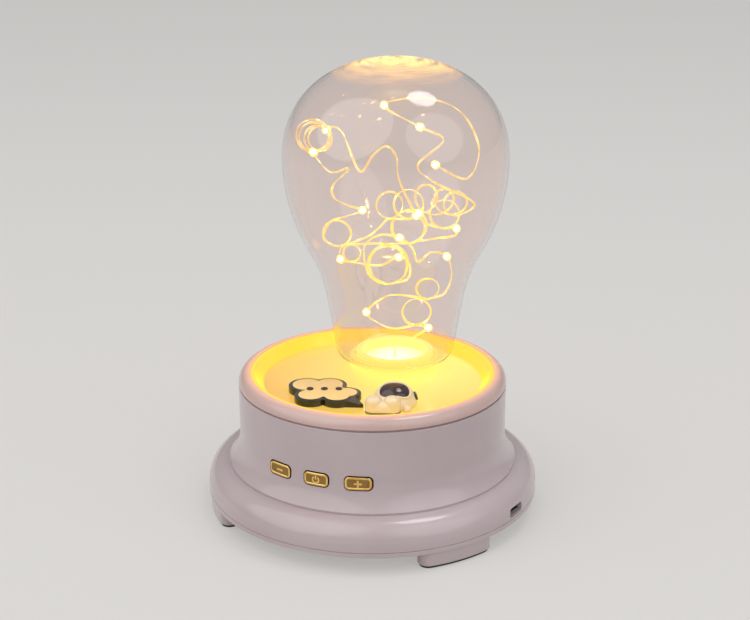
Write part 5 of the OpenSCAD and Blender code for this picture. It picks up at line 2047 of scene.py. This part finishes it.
@dataclass
class Speaker(Assembly):
    """The speaker's soft pieces and its screws."""

    cloth_r: float = 21.0
    cloth_z: Point2 = (8.5, 8.8)
    thick: float = 0.4
    skirts: tuple[Skirt, ...] = (
        Skirt("cone_edge", "surround", "soft_rubber", "soft_rubber", outer=21.3, inner=17.35, z=10.5,
              rise=2.5, wave=0.45, waves=2, bend_z=(10.5, 13.4), lip=1.2),
        Skirt("centring_disc", "spider", "spider_weave", "spider_fabric", outer=18.69, inner=7.05, z=18.2,
              rise=1.2, wave=0.35, waves=4, bend_z=(18.2, 19.8)))
    screws: tuple[ScrewSet, ...] = (
        ScrewSet("cover_screws_cross", "cover_screws", (-60, 60, 180), r=47.0, head_z=8.3, up=-1,
                 head=(2.8, 2.0), shank=(1.5, 12.4)),
        ScrewSet("speaker_screws_cross", "speaker_screws", (45, 135, 225, 315), r=30.3, head_z=11.25, up=1,
                 head=(3.5, 1.5), shank=(1.1, 1.8)))

    def cloth(self) -> None:
        """Builds the stretched cloth behind the grille."""
        low, high = self.cloth_z
        shape = bmesh.new()
        lathe(shape, [(0, low), (self.cloth_r, low), (self.cloth_r, high), (0, high)], around=96)
        cloth = self.made("grille_sheet", shape, "grille_cloth_black", "grille_fabric", "grille_cloth")

    def skirt(self, skirt: Skirt) -> None:
        """Builds one soft skirt.

        Args:
            skirt: Its name, sizes and finish.
        """
        low = skirt.lower()
        shape = bmesh.new()
        lathe(shape, low + [(r, z + self.thick) for r, z in reversed(low)], around=120)
        piece = finished(skirt.name, shape, self.finishes[skirt.finish], sharp=60)
        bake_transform(piece)
        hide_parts(skirt.node)
        LOG.info("built %s between the frame and the cone", skirt.name)

    def build(self) -> None:
        """Builds cloth, skirts and screws."""
        self.cloth()
        for skirt in self.skirts:
            self.skirt(skirt)
        tree = screw_tree()
        for row in self.screws:
            spots = [front_turn(a) @ Vector((0, -row.r * MM, row.head_z * MM)) for a in row.angles]
            mesh = places(row.name + "_places", spots, [Vector((0, 0, row.up))] * len(spots))
            sizes = dict(zip(SCREW_SIZES, (size * MM for size in row.head + row.shank)))
            piece = grown(row.name, mesh, tree, {**sizes, "Finish": self.finishes["steel"]})
            self.seat(piece, HOUSING, "steel", row.node)


@dataclass
class Inside(Assembly):
    """Speaker, battery, boards and leads: solids that keep their shape."""

    plan: dict[str, tuple[str, ...]] = field(default_factory=lambda: {
        "soft_rubber": ("speaker_gasket", "battery_straps"),
        "black_tin": ("speaker_frame",),
        "cone_paper": ("speaker_cone", "dust_cap"),
        "copper_wire": ("voice_coil",),
        "steel": ("top_plate", "pole_yoke", "switch_bodies"),
        "ferrite": ("magnet",),
        "cell_sleeve": ("battery_cell",),
        "dark_moulding": ("battery_cradle", "main_board_parts", "plunger_minus", "plunger_power",
                          "plunger_plus"),
        "board_green": ("button_board", "charge_board", "main_board"),
        "plug_ivory": ("plug_housings",),
        "board_white": ("light_board",),
        "chip_glow": ("light_chips",),
        "red_sleeve": ("light_lead", "battery_lead", "charge_lead"),
        "grey_sleeve": ("button_lead", "speaker_lead"),
    })

    def build(self) -> None:
        """Dresses each solid."""
        for finish, nodes in self.plan.items():
            self.dress(finish, *nodes)


# Studio, in metres and watts


@dataclass(frozen=True)
class SoftLamp:
    """A round lamp that faces the object."""

    name: str
    at: Point3
    size: float
    power: float
    colour: Point3
    aim: Point3 = (0.0, 0.0, 0.08)

    def hang(self) -> None:
        """Hangs the lamp."""
        data = bpy.data.lights.new(self.name, "AREA")
        data.shape, data.size, data.energy, data.color = "DISK", self.size, self.power, self.colour
        lamp = bpy.data.objects.new(self.name, data)
        lamp.location = self.at
        lamp.rotation_euler = (Vector(self.aim) - Vector(self.at)).to_track_quat("-Z", "Y").to_euler()
        bpy.context.scene.collection.objects.link(lamp)


@dataclass
class Stage:
    """Floor, lamps and camera."""

    eye: Point3 = (0.2086, -0.4865, 0.2593)
    view: Point3 = (-0.3714, 0.8707, -0.3223)
    lens: float = 69.49
    pale: Colour = srgb(214, 212, 209)
    evenness: float = 0.56
    floor_reach: float = 60.0
    far_level: float = 0.82
    sky_colour: Colour = (0.9, 0.9, 0.92, 1.0)
    sky_level: Point2 = (0.3, 0.72)
    sky_span: Point2 = (0.0, 0.9)
    lamps: tuple[SoftLamp, ...] = (
        SoftLamp("key_lamp", (-0.55, -0.75, 0.95), 1.9, 10.0, (1.0, 0.98, 0.96)),
        SoftLamp("fill_lamp", (1.0, -0.37, 0.8), 1.4, 4.6, (0.97, 0.97, 1.0)),
        SoftLamp("top_lamp", (0.32, 0.25, 1.33), 0.45, 3.0, (0.97, 0.97, 1.0)))

    def build(self) -> None:
        """Sets up the studio."""
        bpy.context.scene.view_settings.view_transform = "Standard"
        self.floor()
        self.sky()
        for lamp in self.lamps:
            lamp.hang()
        self.camera()

    def camera(self) -> None:
        """Sets up the camera at the photograph's viewing angle."""
        scene = bpy.context.scene
        data = bpy.data.cameras.new("camera")
        data.sensor_fit, data.sensor_width, data.lens = "HORIZONTAL", 36.0, self.lens
        data.clip_start = 0.01
        camera = bpy.data.objects.new("camera", data)
        camera.location = self.eye
        camera.rotation_euler = Vector(self.view).to_track_quat("-Z", "Y").to_euler()
        scene.collection.objects.link(camera)
        scene.camera = camera

    def floor(self) -> None:
        """Lays a plain pale floor, part of whose tone is even to the eye."""
        reach = self.floor_reach
        mesh = bpy.data.meshes.new("floor")
        corners = [(-reach, -reach, 0), (reach, -reach, 0), (reach, reach, 0), (-reach, reach, 0)]
        mesh.from_pydata(corners, [], [(0, 1, 2, 3)])
        material, nodes, shader = Finish("floor_pale").start(Base_Color=self.pale, Roughness=0.9)
        even = nodes.add("ShaderNodeEmission", {"Color": self.pale, "Strength": 1.0})
        light = nodes.add("ShaderNodeLightPath")
        seen = nodes.maths("MAXIMUM", light.outputs["Is Camera Ray"], light.outputs["Is Glossy Ray"])
        seen = nodes.maths("MAXIMUM", seen, light.outputs["Is Transmission Ray"])
        share = nodes.maths("MULTIPLY", seen, self.evenness)
        last = nodes.choose(share, shader.outputs[0], even.outputs[0])
        nodes.feed(nodes.found("OUTPUT_MATERIAL"), Surface=last)
        mesh.materials.append(material)
        shown("floor", mesh)

    def sky(self) -> None:
        """Fills the room with soft light from above, and shows the eye the floor's colour far away."""
        world = bpy.data.worlds.new("room")
        world.use_nodes = True
        nodes = Nodes(world.node_tree)
        soft = nodes.found("BACKGROUND")
        soft.inputs["Color"].default_value = self.sky_colour
        coordinates = nodes.add("ShaderNodeTexCoord")
        where = nodes.after(coordinates.outputs["Generated"], "ShaderNodeSeparateXYZ")
        nodes.feed(soft, Strength=nodes.span(where.outputs["Z"], *self.sky_span, to=self.sky_level))
        far = nodes.add("ShaderNodeBackground", {"Color": self.pale, "Strength": self.far_level})
        light = nodes.add("ShaderNodeLightPath")
        seen = nodes.maths("MAXIMUM", light.outputs["Is Camera Ray"], light.outputs["Is Transmission Ray"])
        last = nodes.choose(seen, soft.outputs[0], far.outputs[0])
        nodes.feed(nodes.found("OUTPUT_WORLD"), Surface=last)
        bpy.context.scene.world = world


def main() -> None:
    """Builds the lamp's looks and its studio."""
    logging.basicConfig(level=logging.INFO, format="%(name)s: %(message)s")
    finishes = Palette()
    Stage().build()
    for kind in (Housing, Feet, Globe, LightString, CloudSign, Astronaut, PushButtons, Speaker, Inside):
        LOG.info("building %s", kind.__name__)
        kind(finishes).build()


if __name__ == "__main__":
    main()
